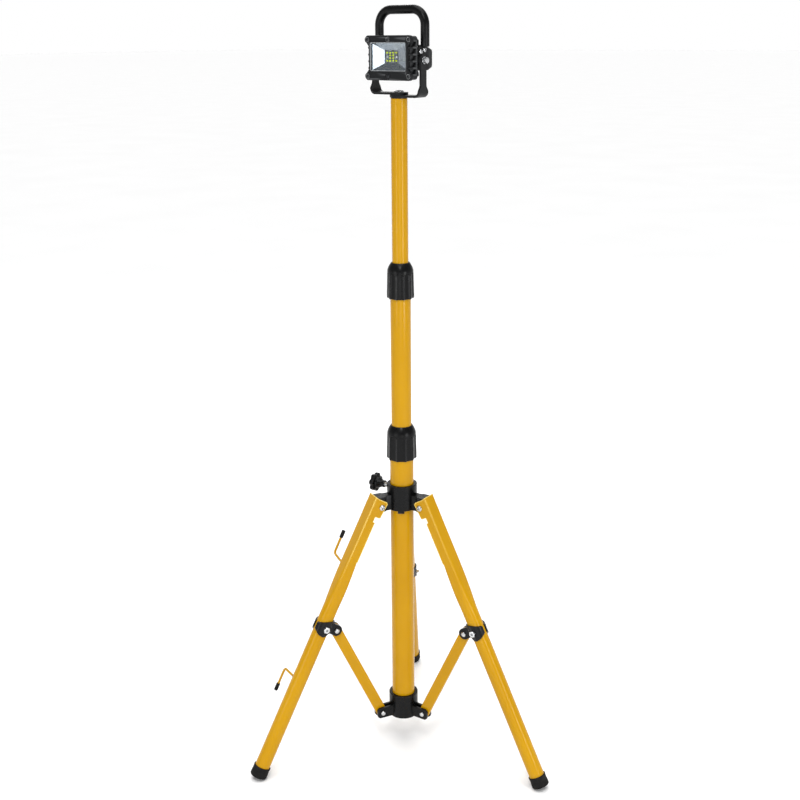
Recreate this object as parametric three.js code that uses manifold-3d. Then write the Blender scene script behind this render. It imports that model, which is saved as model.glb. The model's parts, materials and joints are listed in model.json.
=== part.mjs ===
// Folding tripod work light: three legs on a sliding hub, a three-section
// telescopic mast with twist-lock collars and a tilting LED flood head.
// Millimetres, +Z up, -Y is the lamp's front, floor at z = 0.
import * as THREE from 'three';
import { mergeVertices } from 'three/addons/utils/BufferGeometryUtils.js';
import Module from 'manifold-3d';

const wasm = await Module();
wasm.setup();

const DEG = Math.PI / 180;

// ---------- driving dimensions ----------

const GAP = 0.3; // clearance left between two touching pieces
const ROUND = 28; // sides of a large round piece
const SMALL = 12; // sides of a fastener or a thin rod
const LEG_SIDES = 24;
const OVER = 1; // how far a cutter runs past the face it cuts
const CHAMFER = 1; // rim broken off a moulded edge
const SINK = 1.5; // how far a boss or an ear is let into the wall that carries it

// legs: t runs up the leg from the foot, d runs inward, square to the leg
const STAND_TURN = 34 * DEG; // turn of the tripod under the lamp
const LEG_LEAN = 26.4 * DEG;
const HUB_ARM_REACH = 42; // mast axis to the leg screw
const LEG_RADIUS = 12.5;
const LEG_WALL = 1.5;
const LEG_TOP_T = 504;
const LEG_PIVOT_DROP = 11.5; // leg screw under the leg's top
const LEG_PIVOT_D = 7.5;
const CLAMP_T = 274;
const PRESS_FLAT = 49; // fully pressed length at the leg's top
const PRESS_START = 26; // end of the round tube, above the clamp's bolt
const PRESS_OUT = 10; // outer face of the pressed top, from the leg's axis
const PRESS_DEPTH = 13;
const PRESS_SQUARENESS = 9; // superellipse exponent of the pressed section, 2 is round
const TAB_LENGTH = 30; // side tabs at the top of the leg
const TAB_REACH = 15;
const TAB_CORNER = 2;
const TAB_TAPER = 2.5; // the tabs draw in this much towards their lower end
const NOTCH = { height: 8, depth: 2, edge: 22 }; // slot under the tabs, and the edge below it
const POCKET_LENGTH = 52; // open length of the pressed channel

// rubber feet
const FOOT_RADIUS = 14.2;
const FOOT_LENGTH = 19;
const FOOT_BASE = 4; // rubber under the tube's end
const SOLE_CUT = 1.5; // height trimmed off so that the foot stands on a flat

// leg clamp and brace
const CLAMP_WALL = 2.4;
const CLAMP_OPENING = 15 * DEG; // half angle left open on the leg's outer side
// heights of the clamp's cheek over and under its bolt
const CHEEK = { innerTop: 14.8, top: 12.9, outerTop: 4.6, outerFoot: -3, tip: -14.2, curve: 2,
  web: -7.5 };
const LUG_REACH = 24.5; // leg axis to the brace pivot
const LUG_RADIUS = 9.4;
const LUG_ROOT = 0.6; // clearance of the ears' web from the tube, past the gap
const BRACE_WIDTH = 18;
const BRACE_THICKNESS = 6;
const EAR_THICKNESS = 4.3;
const BRACE_FOOT_R = 42.6; // pivot of the brace on the lower hub
const BRACE_FOOT_Z = 63.4;

// fasteners
const PIVOT_SHANK = 3;
const SHANK_FIT = 0.35;
const HEX_RADIUS = 5.5;
const HEX_HEIGHT = 4;
const RIVET_RADIUS = 4.2;
const RIVET_HEIGHT = 2.8;
const SCREW_RADIUS = 4.6;
const SCREW_HEIGHT = 2.4;

// hubs
const HUB_RADIUS = 24.4;
const LOWER_HUB_DROP = 12.7; // brace pivot to the hub's underside
const LOWER_HUB_HEIGHT = 41.9;
const LOWER_HUB_FLOOR = 3.6;
const UPPER_HUB_DROP = 9.6;
const UPPER_HUB_HEIGHT = 41.8;
const HUB_BLOCK_REACH = 7.7; // arm of the hub past the leg pivot
const HUB_BLOCK_RISE = 16.5; // top of the arm above the leg pivot
const HUB_BLOCK_CORNER = 3;
const SLOT_RISE = 10; // free travel of the leg screw in the hub's slot
const SLOT_WIDTH = 6.8;
const HUB_TAB_WIDTH = 10.6;
const HUB_TAB_DROP = 3.6;

// clamp knob
const KNOB_TURN = 60 * DEG; // knob's azimuth, from the left leg towards the back leg
const KNOB_DROP = 9.8; // knob axis under the upper hub's top
const STUD_RADIUS = 4;
const KNOB_START = 33; // mast axis to the knob's neck
const KNOB_NECK = 15.2;
const KNOB_NECK_RADIUS = 5.8;
const KNOB_HUB_RADIUS = 9.5;
const KNOB_LOBES = 7;
const KNOB_RADIUS = 15.5;
const KNOB_LOBE_DEPTH = 2.6;
const KNOB_THICKNESS = 8;
const KNOB_COLLAR = 3; // straight end of the neck
const KNOB_CROWN = 1.6; // cap proud of the star's face
const STUD_IN_KNOB = 18.5;

// mast tubes
const LOWER = { radius: 19, wall: 1.5 };
const LOWER_ABOVE_HUB = 77.1; // end of the lower tube above the upper hub
const MIDDLE = { radius: 16, wall: 1.5, length: 490 };
const TOP = { radius: 12.5, wall: 1.3, length: 470 };
const MIDDLE_DRAWN = 264.4; // top of the middle tube above the lower tube's
const TOP_DRAWN = 264.5;

// twist-lock collars, collets and guide bushes
const LOWER_COLLAR = { radius: 24.1, above: 22.2, height: 56.8, mouth: 18 };
const UPPER_COLLAR = { radius: 21.2, above: 20.2, height: 56, mouth: 14.4 };
const COLLAR_FLUTES = 10;
const FLUTE_RADIUS = 4.2;
const FLUTE_DEPTH = 1.1;
const COLLAR_FOOT = { inset: 1.6, height: 3 };
const COLLAR_DOME = { height: 14, roundness: 1.7, steps: 4 }; // from a straight flank to the mouth
const COLLAR_BORE_STEP = 12; // narrow mouth length at the collar's top
const COLLAR_BORE_LIP = 4; // slanted step from the wide bore to the narrow one
const COLLET_PLUG = 12;
const COLLET_FLANGE = 2;
const COLLET_JAW = 1.4; // thickness of the jaws at their tips
const BUSH_HEIGHT = 18;
const BUSH_FLANGE = { height: 2, inset: 1 }; // flange under the tube's end
const PLUG_FLANGE = 1;
const PLUG_DEPTH = 22;

// cable hooks on one leg
const HOOK_WIRE = 1.8;
const HOOK_D = -7.5;
const HOOK_OUT = 45;
const HOOK_BEND = 6;
const HOOK_RISE = 3; // slant of the wire's first stretch
const HOOK_LENGTH = 42;
const UPPER_HOOK_T = 382;
const LOWER_HOOK_T = 176;
const TIP_RADIUS = 3.1;
const TIP_LENGTH = 13;
const TIP_COVER = 2;

// bracket: two angles whose feet lie on each other on the mast's top
const STRIP = 3.5;
const ARM_ROOM = 1; // gap between the bezel's side and an arm
const ARM_WIDTH = 13;
const ARM_HEIGHT = 52.5; // underside of the lower foot to the tilt axis
const ARM_END_RADIUS = 7.5;
const BRACKET_FOOT_WIDTH = 22;
const FOOT_PAD_SHIFT = 3.5; // how far a foot's round end lies past the bolt
const BEND_RADIUS = 9;
const WIDE_RISE = 14; // the foot's full width has narrowed to the arm's here
const WIDE_SLOPE = 4;
const ARM_END_SWEEP = 0.55; // radians the arm's round end runs past its half circle
const TRIM = 60; // reach of an outline that another one trims
const MOUNT_BOLT_RADIUS = 4;
const MOUNT_HEAD = { radius: 7.5, height: 2.4, crown: 3, shoulder: 1.5, edge: 0.4 };

// lamp head: x across, y backward, z up, from the middle of the bezel
const TILT_DROP = 3.4; // tilt axis under the middle of the bezel
const HOUSING = { width: 82, height: 61, back: -8, corner: 5 };
const FIN = { pitch: 9.5, thickness: 2.6, depth: 5.2, wall: 3, nose: 1, slope: 1.6, tip: 0.5 };
// side and ends: how far a piece runs past the one before it, or stays short of it
const BEZEL = { side: 0.5, ends: 1, front: -26, back: -19.5, lip: 1.5, corner: 6 };
const BEZEL_WAIST = { inset: 0.2, height: 46, slope: 7 }; // inset: from the foot of the fins
const WINDOW = { side: 8, ends: 11.5, rise: 1.6, corner: 2.5 };
const GLASS = { side: 1.3, ends: 2.5, thickness: 2.3 };
const REAR_FIN = { count: 9, pitch: 8.4, thickness: 2.2, depth: 11, height: 52 };
const REFLECTOR = { flange: 1, floorWidth: 26, floorHeight: 19, floorY: -16.2, wall: 0.9,
  mouth: [0.5, 0.2] }; // mouth: inside the window's edges
const BOARD = { width: 30, height: 23, thickness: 1.6 };
const LED = { columns: 4, rows: 4, pitchX: 5.56, pitchZ: 3.7, width: 3.4, height: 2.5, rise: 0.7 };
const POCKET_ENDS = 1.25; // room over and under the glass in the housing's pocket
const BOX = { side: 3, height: 33, back: 35, taper: [2.5, 3.5], taperLength: 12, drop: 1.5, wall: 2.6 };
const BOSS_RADIUS = 6.8;
const WASHER = { radius: 4.8, height: 1.2 };
const PIVOT_HEX = { radius: 4.2, height: 5 };
const GLAND = { radius: 7, collar: 3, height: 11, y: 23, bore: 3.4, dome: 5.9, tip: 3.9, slope: 2.5 };
const BUTTON = { radius: 6.5, proud: 2.6, skirt: 1.2, skirtHeight: 1.2 };

// carry handle, fixed to the driver box
const HANDLE = { out: 4, y: 8, radius: 6.5, top: 67.2, bottom: 15.2, bend: 22 };
const TONGUE = { thickness: 3.5, front: -7, back: 13.5, bottom: 4.8, corner: 4, sink: 3, slope: 5 };
const HANDLE_SCREWS = [{ y: -2.4, z: 8.6 }, { y: 6, z: 11.2 }];
const HANDLE_SCREW = { shank: 1.8, radius: 3.4, height: 2.2, bite: 9 };

// ---------- colours ----------

function paint(color, roughness, metalness) {
  return new THREE.MeshStandardMaterial({ color, roughness, metalness });
}

const YELLOW = paint(0xe0b21c, 0.42, 0.1);
const BLACK_PLASTIC = paint(0x26282a, 0.5, 0);
const BLACK_RUBBER = paint(0x1b1b1c, 0.8, 0);
const ZINC = paint(0xbfc3c6, 0.35, 0.9);
const BLACK_CAST = paint(0x22262a, 0.55, 0.3);
const BLACK_STRIP = paint(0x1f2225, 0.5, 0.3);
const CLEAR = paint(0xdfe6ea, 0.05, 0);
const SILVER = paint(0xaab2b8, 0.25, 0.9);
const BOARD_WHITE = paint(0xe8e8e4, 0.5, 0);
const BUSH_GREY = paint(0x55585a, 0.6, 0);

// ---------- solids ----------

function welded(geometry) {
  const bare = geometry.clone();
  for (const name of Object.keys(bare.attributes)) {
    if (name !== 'position') bare.deleteAttribute(name);
  }
  bare.clearGroups();
  const merged = mergeVertices(bare, 1e-4);
  const index = merged.index.array;
  const kept = [];
  for (let i = 0; i < index.length; i += 3) {
    const [a, b, c] = index.slice(i, i + 3);
    if (a !== b && b !== c && c !== a) kept.push(a, b, c);
  }
  return { position: merged.attributes.position.array, index: kept };
}

function signedVolume({ position, index }) {
  const corner = (i) => new THREE.Vector3().fromArray(position, 3 * i);
  let sum = 0;
  for (let i = 0; i < index.length; i += 3) {
    const [a, b, c] = [corner(index[i]), corner(index[i + 1]), corner(index[i + 2])];
    sum += a.dot(b.cross(c));
  }
  return sum;
}

function solid(geometry) {
  const mesh = welded(geometry);
  if (signedVolume(mesh) < 0) mesh.index.reverse();
  const vertProperties = new Float32Array(mesh.position);
  const triVerts = new Uint32Array(mesh.index);
  return new wasm.Manifold(new wasm.Mesh({ numProp: 3, vertProperties, triVerts }));
}

function joined(...solids) {
  return solids.reduce((sum, next) => sum.add(next));
}

function cut(body, ...cutters) {
  return cutters.reduce((rest, cutter) => rest.subtract(cutter), body);
}

function geometryOf(body) {
  const { vertProperties, triVerts, numProp } = body.getMesh();
  const position = new Float32Array((vertProperties.length / numProp) * 3);
  for (let i = 0; i < position.length / 3; i++) {
    for (let k = 0; k < 3; k++) position[3 * i + k] = vertProperties[numProp * i + k];
  }
  const geometry = new THREE.BufferGeometry();
  geometry.setAttribute('position', new THREE.BufferAttribute(position, 3));
  geometry.setIndex(new THREE.BufferAttribute(new Uint32Array(triVerts), 1));
  geometry.computeVertexNormals();
  return geometry;
}

function piece(name, body, material, parent) {
  const mesh = new THREE.Mesh(geometryOf(body), material);
  mesh.name = name;
  parent.add(mesh);
  return mesh;
}

// profile points are [radius, height] round the z axis
function turned(points, sides = ROUND) {
  const profile = [...points, points[0]].map(([r, z]) => new THREE.Vector2(r, z));
  return solid(new THREE.LatheGeometry(profile, sides).rotateX(Math.PI / 2));
}

function ring(outer, inner, low, high, sides = ROUND) {
  return turned([[inner, low], [outer, low], [outer, high], [inner, high]], sides);
}

function rod(radius, low, high, sides = SMALL) {
  const geometry = new THREE.CylinderGeometry(radius, radius, high - low, sides);
  return solid(geometry.rotateX(Math.PI / 2).translate(0, 0, (low + high) / 2));
}

function block(x0, x1, y0, y1, z0, z1) {
  const geometry = new THREE.BoxGeometry(x1 - x0, y1 - y0, z1 - z0);
  return solid(geometry.translate((x0 + x1) / 2, (y0 + y1) / 2, (z0 + z1) / 2));
}

function prism(shape, low, high, curveSegments = 4) {
  const options = { depth: high - low, bevelEnabled: false, curveSegments };
  return solid(new THREE.ExtrudeGeometry(shape, options).translate(0, 0, low));
}

// a shape drawn in x and z, extruded along y
function slab(shape, y0, y1, curveSegments = 4) {
  return prism(shape, -y1, -y0, curveSegments).rotate([90, 0, 0]);
}

// a shape drawn in y and z, extruded along x
function cheek(shape, x0, x1, curveSegments = 4) {
  return prism(shape, x0, x1, curveSegments).rotate([90, 0, 90]);
}

// bodies made along z, turned to lie along y or x
function alongY(body) {
  return body.rotate([-90, 0, 0]);
}

function alongX(body) {
  return body.rotate([0, 90, 0]);
}

function polygon(points) {
  return new THREE.Shape(points.map(([u, v]) => new THREE.Vector2(u, v)));
}

function roundedRect(width, height, corner, rise = 0) {
  const [x, y] = [width / 2, height / 2];
  const shape = new THREE.Shape();
  shape.absarc(x - corner, rise + y - corner, corner, 0, Math.PI / 2, false);
  shape.absarc(corner - x, rise + y - corner, corner, Math.PI / 2, Math.PI, false);
  shape.absarc(corner - x, rise + corner - y, corner, Math.PI, 1.5 * Math.PI, false);
  shape.absarc(x - corner, rise + corner - y, corner, 1.5 * Math.PI, 2 * Math.PI, false);
  return shape;
}

// skins a stack of rings, each an array of the same number of points
function loft(rings) {
  const count = rings[0].length;
  const position = rings.flat().flatMap((point) => point.toArray());
  const index = [];
  for (let k = 0; k + 1 < rings.length; k++) {
    for (let i = 0; i < count; i++) {
      const [a, b] = [k * count + i, k * count + ((i + 1) % count)];
      index.push(a, b, b + count, a, b + count, a + count);
    }
  }
  const last = (rings.length - 1) * count;
  for (let i = 1; i + 1 < count; i++) {
    index.push(0, i + 1, i, last, last + i, last + i + 1);
  }
  const geometry = new THREE.BufferGeometry();
  geometry.setAttribute('position', new THREE.Float32BufferAttribute(position, 3));
  geometry.setIndex(index);
  return solid(geometry);
}

// a round bar along a path that lies in one plane; side is that plane's normal
function bar(path, radius, side, sides) {
  const rings = path.map(({ at, along }) => {
    const across = new THREE.Vector3().crossVectors(side, along).normalize();
    return Array.from({ length: sides }, (_, i) => {
      const angle = (2 * Math.PI * i) / sides;
      return at
        .clone()
        .addScaledVector(across, radius * Math.cos(angle))
        .addScaledVector(side, radius * Math.sin(angle));
    });
  });
  return loft(rings);
}

// straight stretches joined by arcs, all in the plane of the corners
function bentPath(corners, bend, steps) {
  const path = [];
  const start = corners[1].clone().sub(corners[0]).normalize();
  path.push({ at: corners[0].clone(), along: start });
  for (let k = 1; k + 1 < corners.length; k++) {
    const inward = corners[k].clone().sub(corners[k - 1]).normalize();
    const outward = corners[k + 1].clone().sub(corners[k]).normalize();
    const turn = inward.angleTo(outward);
    const cutback = bend * Math.tan(turn / 2);
    const normal = outward.clone().addScaledVector(inward, -outward.dot(inward)).normalize();
    const from = corners[k].clone().addScaledVector(inward, -cutback);
    for (let i = 0; i <= steps; i++) {
      const angle = (turn * i) / steps;
      const at = from
        .clone()
        .addScaledVector(inward, bend * Math.sin(angle))
        .addScaledVector(normal, bend * (1 - Math.cos(angle)));
      const along = inward
        .clone()
        .multiplyScalar(Math.cos(angle))
        .addScaledVector(normal, Math.sin(angle));
      path.push({ at, along });
    }
  }
  const end = corners.at(-1).clone().sub(corners.at(-2)).normalize();
  path.push({ at: corners.at(-1).clone(), along: end });
  return path;
}

// ---------- places worked out from the dimensions ----------

const LEG_PIVOT_T = LEG_TOP_T - LEG_PIVOT_DROP;
const PRESS_END_T = LEG_TOP_T - PRESS_FLAT;
const PRESS_START_T = CLAMP_T + PRESS_START;
const FOOT_Z = FOOT_RADIUS * Math.sin(LEG_LEAN) - SOLE_CUT;
const FOOT_REACH = HUB_ARM_REACH + LEG_PIVOT_T * Math.sin(LEG_LEAN)
  + LEG_PIVOT_D * Math.cos(LEG_LEAN); // mast axis to the middle of a foot's sole

function grown({ width, height }, side, ends) {
  return { width: width + 2 * side, height: height + 2 * ends };
}

// a point of the leg's plane, as distance from the mast axis and height
function legPlane(t, d) {
  return {
    r: FOOT_REACH - t * Math.sin(LEG_LEAN) - d * Math.cos(LEG_LEAN),
    z: FOOT_Z + t * Math.cos(LEG_LEAN) - d * Math.sin(LEG_LEAN),
  };
}

const LEG_PIVOT = legPlane(LEG_PIVOT_T, LEG_PIVOT_D);
const BRACE_HEAD = legPlane(CLAMP_T, LUG_REACH);
const LOWER_HUB_Z = BRACE_FOOT_Z - LOWER_HUB_DROP;
const UPPER_HUB_Z = LEG_PIVOT.z - UPPER_HUB_DROP;
const UPPER_HUB_TOP = UPPER_HUB_Z + UPPER_HUB_HEIGHT;
const HUB_BORE = LOWER.radius + GAP;
const LOWER_BASE = LOWER_HUB_Z + LOWER_HUB_FLOOR + GAP;
const LOWER_TOP = UPPER_HUB_TOP + LOWER_ABOVE_HUB;
const MIDDLE_TOP = LOWER_TOP + MIDDLE_DRAWN;
const TOP_TOP = MIDDLE_TOP + TOP_DRAWN;
const PLUG_TOP = TOP_TOP + GAP + PLUG_FLANGE;
const BRACKET_Z = PLUG_TOP + GAP;
const TILT_Z = BRACKET_Z + ARM_HEIGHT;
const BEZEL_SIZE = grown(HOUSING, BEZEL.side, BEZEL.ends);
const WINDOW_SIZE = grown(BEZEL_SIZE, -WINDOW.side, -WINDOW.ends);
const GLASS_SIZE = grown(WINDOW_SIZE, GLASS.side, GLASS.ends);
const POCKET_SIZE = grown(GLASS_SIZE, GAP, POCKET_ENDS);
const BOX_SIZE = { width: HOUSING.width - 2 * BOX.side, height: BOX.height };
const FIN_ROOT = HOUSING.width / 2 - FIN.depth;
const ARM_INNER = BEZEL_SIZE.width / 2 + ARM_ROOM; // half the room between the arms
const EAR_IN = BRACE_THICKNESS / 2 + GAP;
const EAR_OUT = EAR_IN + EAR_THICKNESS;
const HOLE = PIVOT_SHANK + SHANK_FIT;

const LEGS = [
  { name: 'left', azimuth: 210 * DEG },
  { name: 'right', azimuth: 330 * DEG },
  { name: 'back', azimuth: 90 * DEG },
];

// ---------- fasteners, made along z with the head at the top ----------

function flangedPin(shank, bottom, top, foot, head) {
  return joined(
    rod(shank, bottom - foot.height / 2, top + head.height / 2),
    rod(foot.radius, bottom - foot.height, bottom, foot.sides),
    head.dome
      ? turned([[0, top], [head.radius, top], [head.radius * 0.8, top + head.height * 0.7],
        [head.radius * 0.35, top + head.height], [0, top + head.height]], SMALL)
      : rod(head.radius, top, top + head.height, head.sides),
  );
}

function hexBolt(halfGrip) {
  const hex = { radius: HEX_RADIUS, height: HEX_HEIGHT, sides: 6 };
  return alongY(flangedPin(PIVOT_SHANK, -halfGrip, halfGrip, hex, hex));
}

function rivet(halfGrip) {
  const head = { radius: RIVET_RADIUS, height: RIVET_HEIGHT, dome: true };
  const foot = { radius: RIVET_RADIUS, height: RIVET_HEIGHT * 0.7, sides: SMALL };
  return alongY(flangedPin(PIVOT_SHANK, -halfGrip, halfGrip, foot, head));
}

function panScrew(halfGrip) {
  const head = { radius: SCREW_RADIUS, height: SCREW_HEIGHT, dome: true };
  const nut = { radius: SCREW_RADIUS, height: SCREW_HEIGHT, sides: 6 };
  return alongY(flangedPin(PIVOT_SHANK, -halfGrip, halfGrip, nut, head));
}

// ---------- mast ----------

function collar(size, tubeRadius, tubeTop) {
  const low = tubeTop + size.above - size.height;
  const high = tubeTop + size.above;
  const { radius, mouth } = size;
  const dome = high - COLLAR_DOME.height;
  const step = high - COLLAR_BORE_STEP;
  const fall = radius - mouth - CHAMFER;
  const slope = Array.from({ length: COLLAR_DOME.steps + 1 }, (_, i) => {
    const share = i / COLLAR_DOME.steps;
    return [radius - fall * share ** COLLAR_DOME.roundness, dome + COLLAR_DOME.height * share];
  });
  const shell = turned([
    [tubeRadius + GAP, low],
    [radius - COLLAR_FOOT.inset, low],
    [radius, low + COLLAR_FOOT.height],
    ...slope,
    [mouth, high],
    [mouth - CHAMFER, step + COLLAR_BORE_LIP],
    [mouth - CHAMFER, step],
    [tubeRadius + GAP, step - COLLAR_BORE_LIP],
  ], 3 * COLLAR_FLUTES);
  const flute = joined(
    rod(FLUTE_RADIUS, low - OVER, dome - FLUTE_RADIUS, 10),
    solid(new THREE.SphereGeometry(FLUTE_RADIUS, 10, 6).rotateX(Math.PI / 2)
      .translate(0, 0, dome - FLUTE_RADIUS)),
  );
  const centre = radius + FLUTE_RADIUS - FLUTE_DEPTH;
  const flutes = Array.from({ length: COLLAR_FLUTES }, (_, i) => (
    flute.translate([centre, 0, 0]).rotate([0, 0, ((i + 0.5) * 360) / COLLAR_FLUTES])
  ));
  return cut(shell, ...flutes);
}

// a split-free sleeve: plug in the outer tube, flange on its end, jaws above
function collet(outer, innerRadius, tubeTop, size) {
  const bore = innerRadius + GAP;
  const flange = tubeTop + GAP;
  const jaw = tubeTop + size.above - COLLAR_BORE_STEP - COLLAR_BORE_LIP - GAP;
  return turned([
    [bore, tubeTop - COLLET_PLUG],
    [outer.radius - outer.wall - GAP, tubeTop - COLLET_PLUG],
    [outer.radius - outer.wall - GAP, flange],
    [outer.radius - GAP, flange],
    [outer.radius - GAP, flange + COLLET_FLANGE],
    [bore + COLLET_JAW, jaw],
    [bore, jaw],
  ]);
}

function bush(outer, inner, low) {
  const bore = outer.radius - outer.wall - GAP;
  return turned([
    [inner.radius - inner.wall - BUSH_FLANGE.inset, low - GAP - BUSH_FLANGE.height],
    [bore, low - GAP - BUSH_FLANGE.height],
    [bore, low + BUSH_HEIGHT],
    [inner.radius + GAP, low + BUSH_HEIGHT],
    [inner.radius + GAP, low - GAP],
    [inner.radius - inner.wall - BUSH_FLANGE.inset, low - GAP],
  ]);
}

function buildMast(stand) {
  const middleBase = MIDDLE_TOP - MIDDLE.length;
  const topBase = TOP_TOP - TOP.length;
  const tube = (size, base, top) => ring(size.radius, size.radius - size.wall, base, top);
  piece('lower_tube', tube(LOWER, LOWER_BASE, LOWER_TOP), YELLOW, stand);
  piece('middle_tube', tube(MIDDLE, middleBase, MIDDLE_TOP), YELLOW, stand);
  piece('top_tube', tube(TOP, topBase, TOP_TOP), YELLOW, stand);
  piece('collar_lower', collar(LOWER_COLLAR, LOWER.radius, LOWER_TOP), BLACK_PLASTIC, stand);
  piece('collar_upper', collar(UPPER_COLLAR, MIDDLE.radius, MIDDLE_TOP), BLACK_PLASTIC, stand);
  const lowerCollet = collet(LOWER, MIDDLE.radius, LOWER_TOP, LOWER_COLLAR);
  const upperCollet = collet(MIDDLE, TOP.radius, MIDDLE_TOP, UPPER_COLLAR);
  piece('collet_lower', lowerCollet, BUSH_GREY, stand);
  piece('collet_upper', upperCollet, BUSH_GREY, stand);
  piece('middle_bush', bush(LOWER, MIDDLE, middleBase), BUSH_GREY, stand);
  piece('top_bush', bush(MIDDLE, TOP, topBase), BUSH_GREY, stand);
  const plug = cut(
    joined(
      rod(TOP.radius, TOP_TOP + GAP, PLUG_TOP, ROUND),
      rod(TOP.radius - TOP.wall - GAP, TOP_TOP - PLUG_DEPTH, TOP_TOP + GAP + PLUG_FLANGE / 2, ROUND),
    ),
    rod(MOUNT_BOLT_RADIUS + GAP, TOP_TOP - PLUG_DEPTH - OVER, PLUG_TOP + OVER),
  );
  piece('top_plug', plug, BLACK_PLASTIC, stand);
}

// ---------- hubs ----------

function lowerHub() {
  const top = LOWER_HUB_Z + LOWER_HUB_HEIGHT;
  const cup = turned([
    [0, LOWER_HUB_Z],
    [HUB_RADIUS - CHAMFER, LOWER_HUB_Z],
    [HUB_RADIUS, LOWER_HUB_Z + CHAMFER],
    [HUB_RADIUS, top - CHAMFER],
    [HUB_RADIUS - CHAMFER, top],
    [HUB_BORE, top],
    [HUB_BORE, LOWER_HUB_Z + LOWER_HUB_FLOOR],
    [0, LOWER_HUB_Z + LOWER_HUB_FLOOR],
  ]);
  const root = HUB_RADIUS - SINK;
  const ear = new THREE.Shape();
  ear.moveTo(root, BRACE_FOOT_Z + LUG_RADIUS);
  ear.lineTo(root, BRACE_FOOT_Z - LUG_RADIUS);
  ear.absarc(BRACE_FOOT_R, BRACE_FOOT_Z, LUG_RADIUS, -Math.PI / 2, Math.PI / 2, false);
  const hole = alongY(rod(HOLE, -EAR_OUT - OVER, EAR_OUT + OVER))
    .translate([BRACE_FOOT_R, 0, BRACE_FOOT_Z]);
  const lug = cut(joined(slab(ear, EAR_IN, EAR_OUT), slab(ear, -EAR_OUT, -EAR_IN)), hole);
  return joined(cup, ...LEGS.map(({ azimuth }) => lug.rotate([0, 0, azimuth / DEG])));
}

function upperHub() {
  const sleeve = turned([
    [HUB_BORE, UPPER_HUB_Z],
    [HUB_RADIUS - CHAMFER, UPPER_HUB_Z],
    [HUB_RADIUS, UPPER_HUB_Z + CHAMFER],
    [HUB_RADIUS, UPPER_HUB_TOP - CHAMFER],
    [HUB_RADIUS - CHAMFER, UPPER_HUB_TOP],
    [HUB_BORE, UPPER_HUB_TOP],
  ]);
  const tip = LEG_PIVOT.r + HUB_BLOCK_REACH;
  const rise = LEG_PIVOT.z + HUB_BLOCK_RISE;
  const side = polygon([
    [HUB_RADIUS - SINK, UPPER_HUB_Z + CHAMFER],
    [tip - HUB_BLOCK_CORNER, UPPER_HUB_Z + CHAMFER],
    [tip, UPPER_HUB_Z + CHAMFER + HUB_BLOCK_CORNER],
    [tip, rise],
    [HUB_RADIUS - SINK, rise],
  ]);
  const half = LEG_RADIUS - LEG_WALL - GAP;
  const slot = new THREE.Shape();
  slot.absarc(0, SLOT_RISE, SLOT_WIDTH / 2, 0, Math.PI, false);
  slot.absarc(0, 0, SLOT_WIDTH / 2, Math.PI, 2 * Math.PI, false);
  const arm = cut(
    slab(side, -half, half),
    slab(slot, -half - OVER, half + OVER).translate([LEG_PIVOT.r, 0, LEG_PIVOT.z]),
  );
  const arms = LEGS.map(({ azimuth }) => arm.rotate([0, 0, azimuth / DEG]));
  const tab = ring(HUB_RADIUS, HUB_BORE, UPPER_HUB_Z - HUB_TAB_DROP, UPPER_HUB_Z + SINK)
    .intersect(block(-HUB_TAB_WIDTH / 2, HUB_TAB_WIDTH / 2, -HUB_RADIUS - OVER, 0,
      UPPER_HUB_Z - HUB_TAB_DROP - OVER, UPPER_HUB_Z + SINK + OVER));
  const studHole = alongX(rod(STUD_RADIUS + GAP, 0, HUB_RADIUS + OVER))
    .translate([0, 0, UPPER_HUB_TOP - KNOB_DROP])
    .rotate([0, 0, (LEGS[0].azimuth - KNOB_TURN) / DEG]);
  return cut(joined(sleeve, ...arms, tab), studHole);
}

function buildHubs(stand) {
  piece('lower_hub', lowerHub(), BLACK_PLASTIC, stand);
  piece('upper_hub', upperHub(), BLACK_PLASTIC, stand);
  for (const { name, azimuth } of LEGS) {
    const turn = new THREE.Group();
    turn.rotation.z = azimuth;
    stand.add(turn);
    const pin = rivet(EAR_OUT + GAP).translate([BRACE_FOOT_R, 0, BRACE_FOOT_Z]);
    piece(`hub_rivet_${name}`, pin, ZINC, turn);
  }
}

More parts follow.
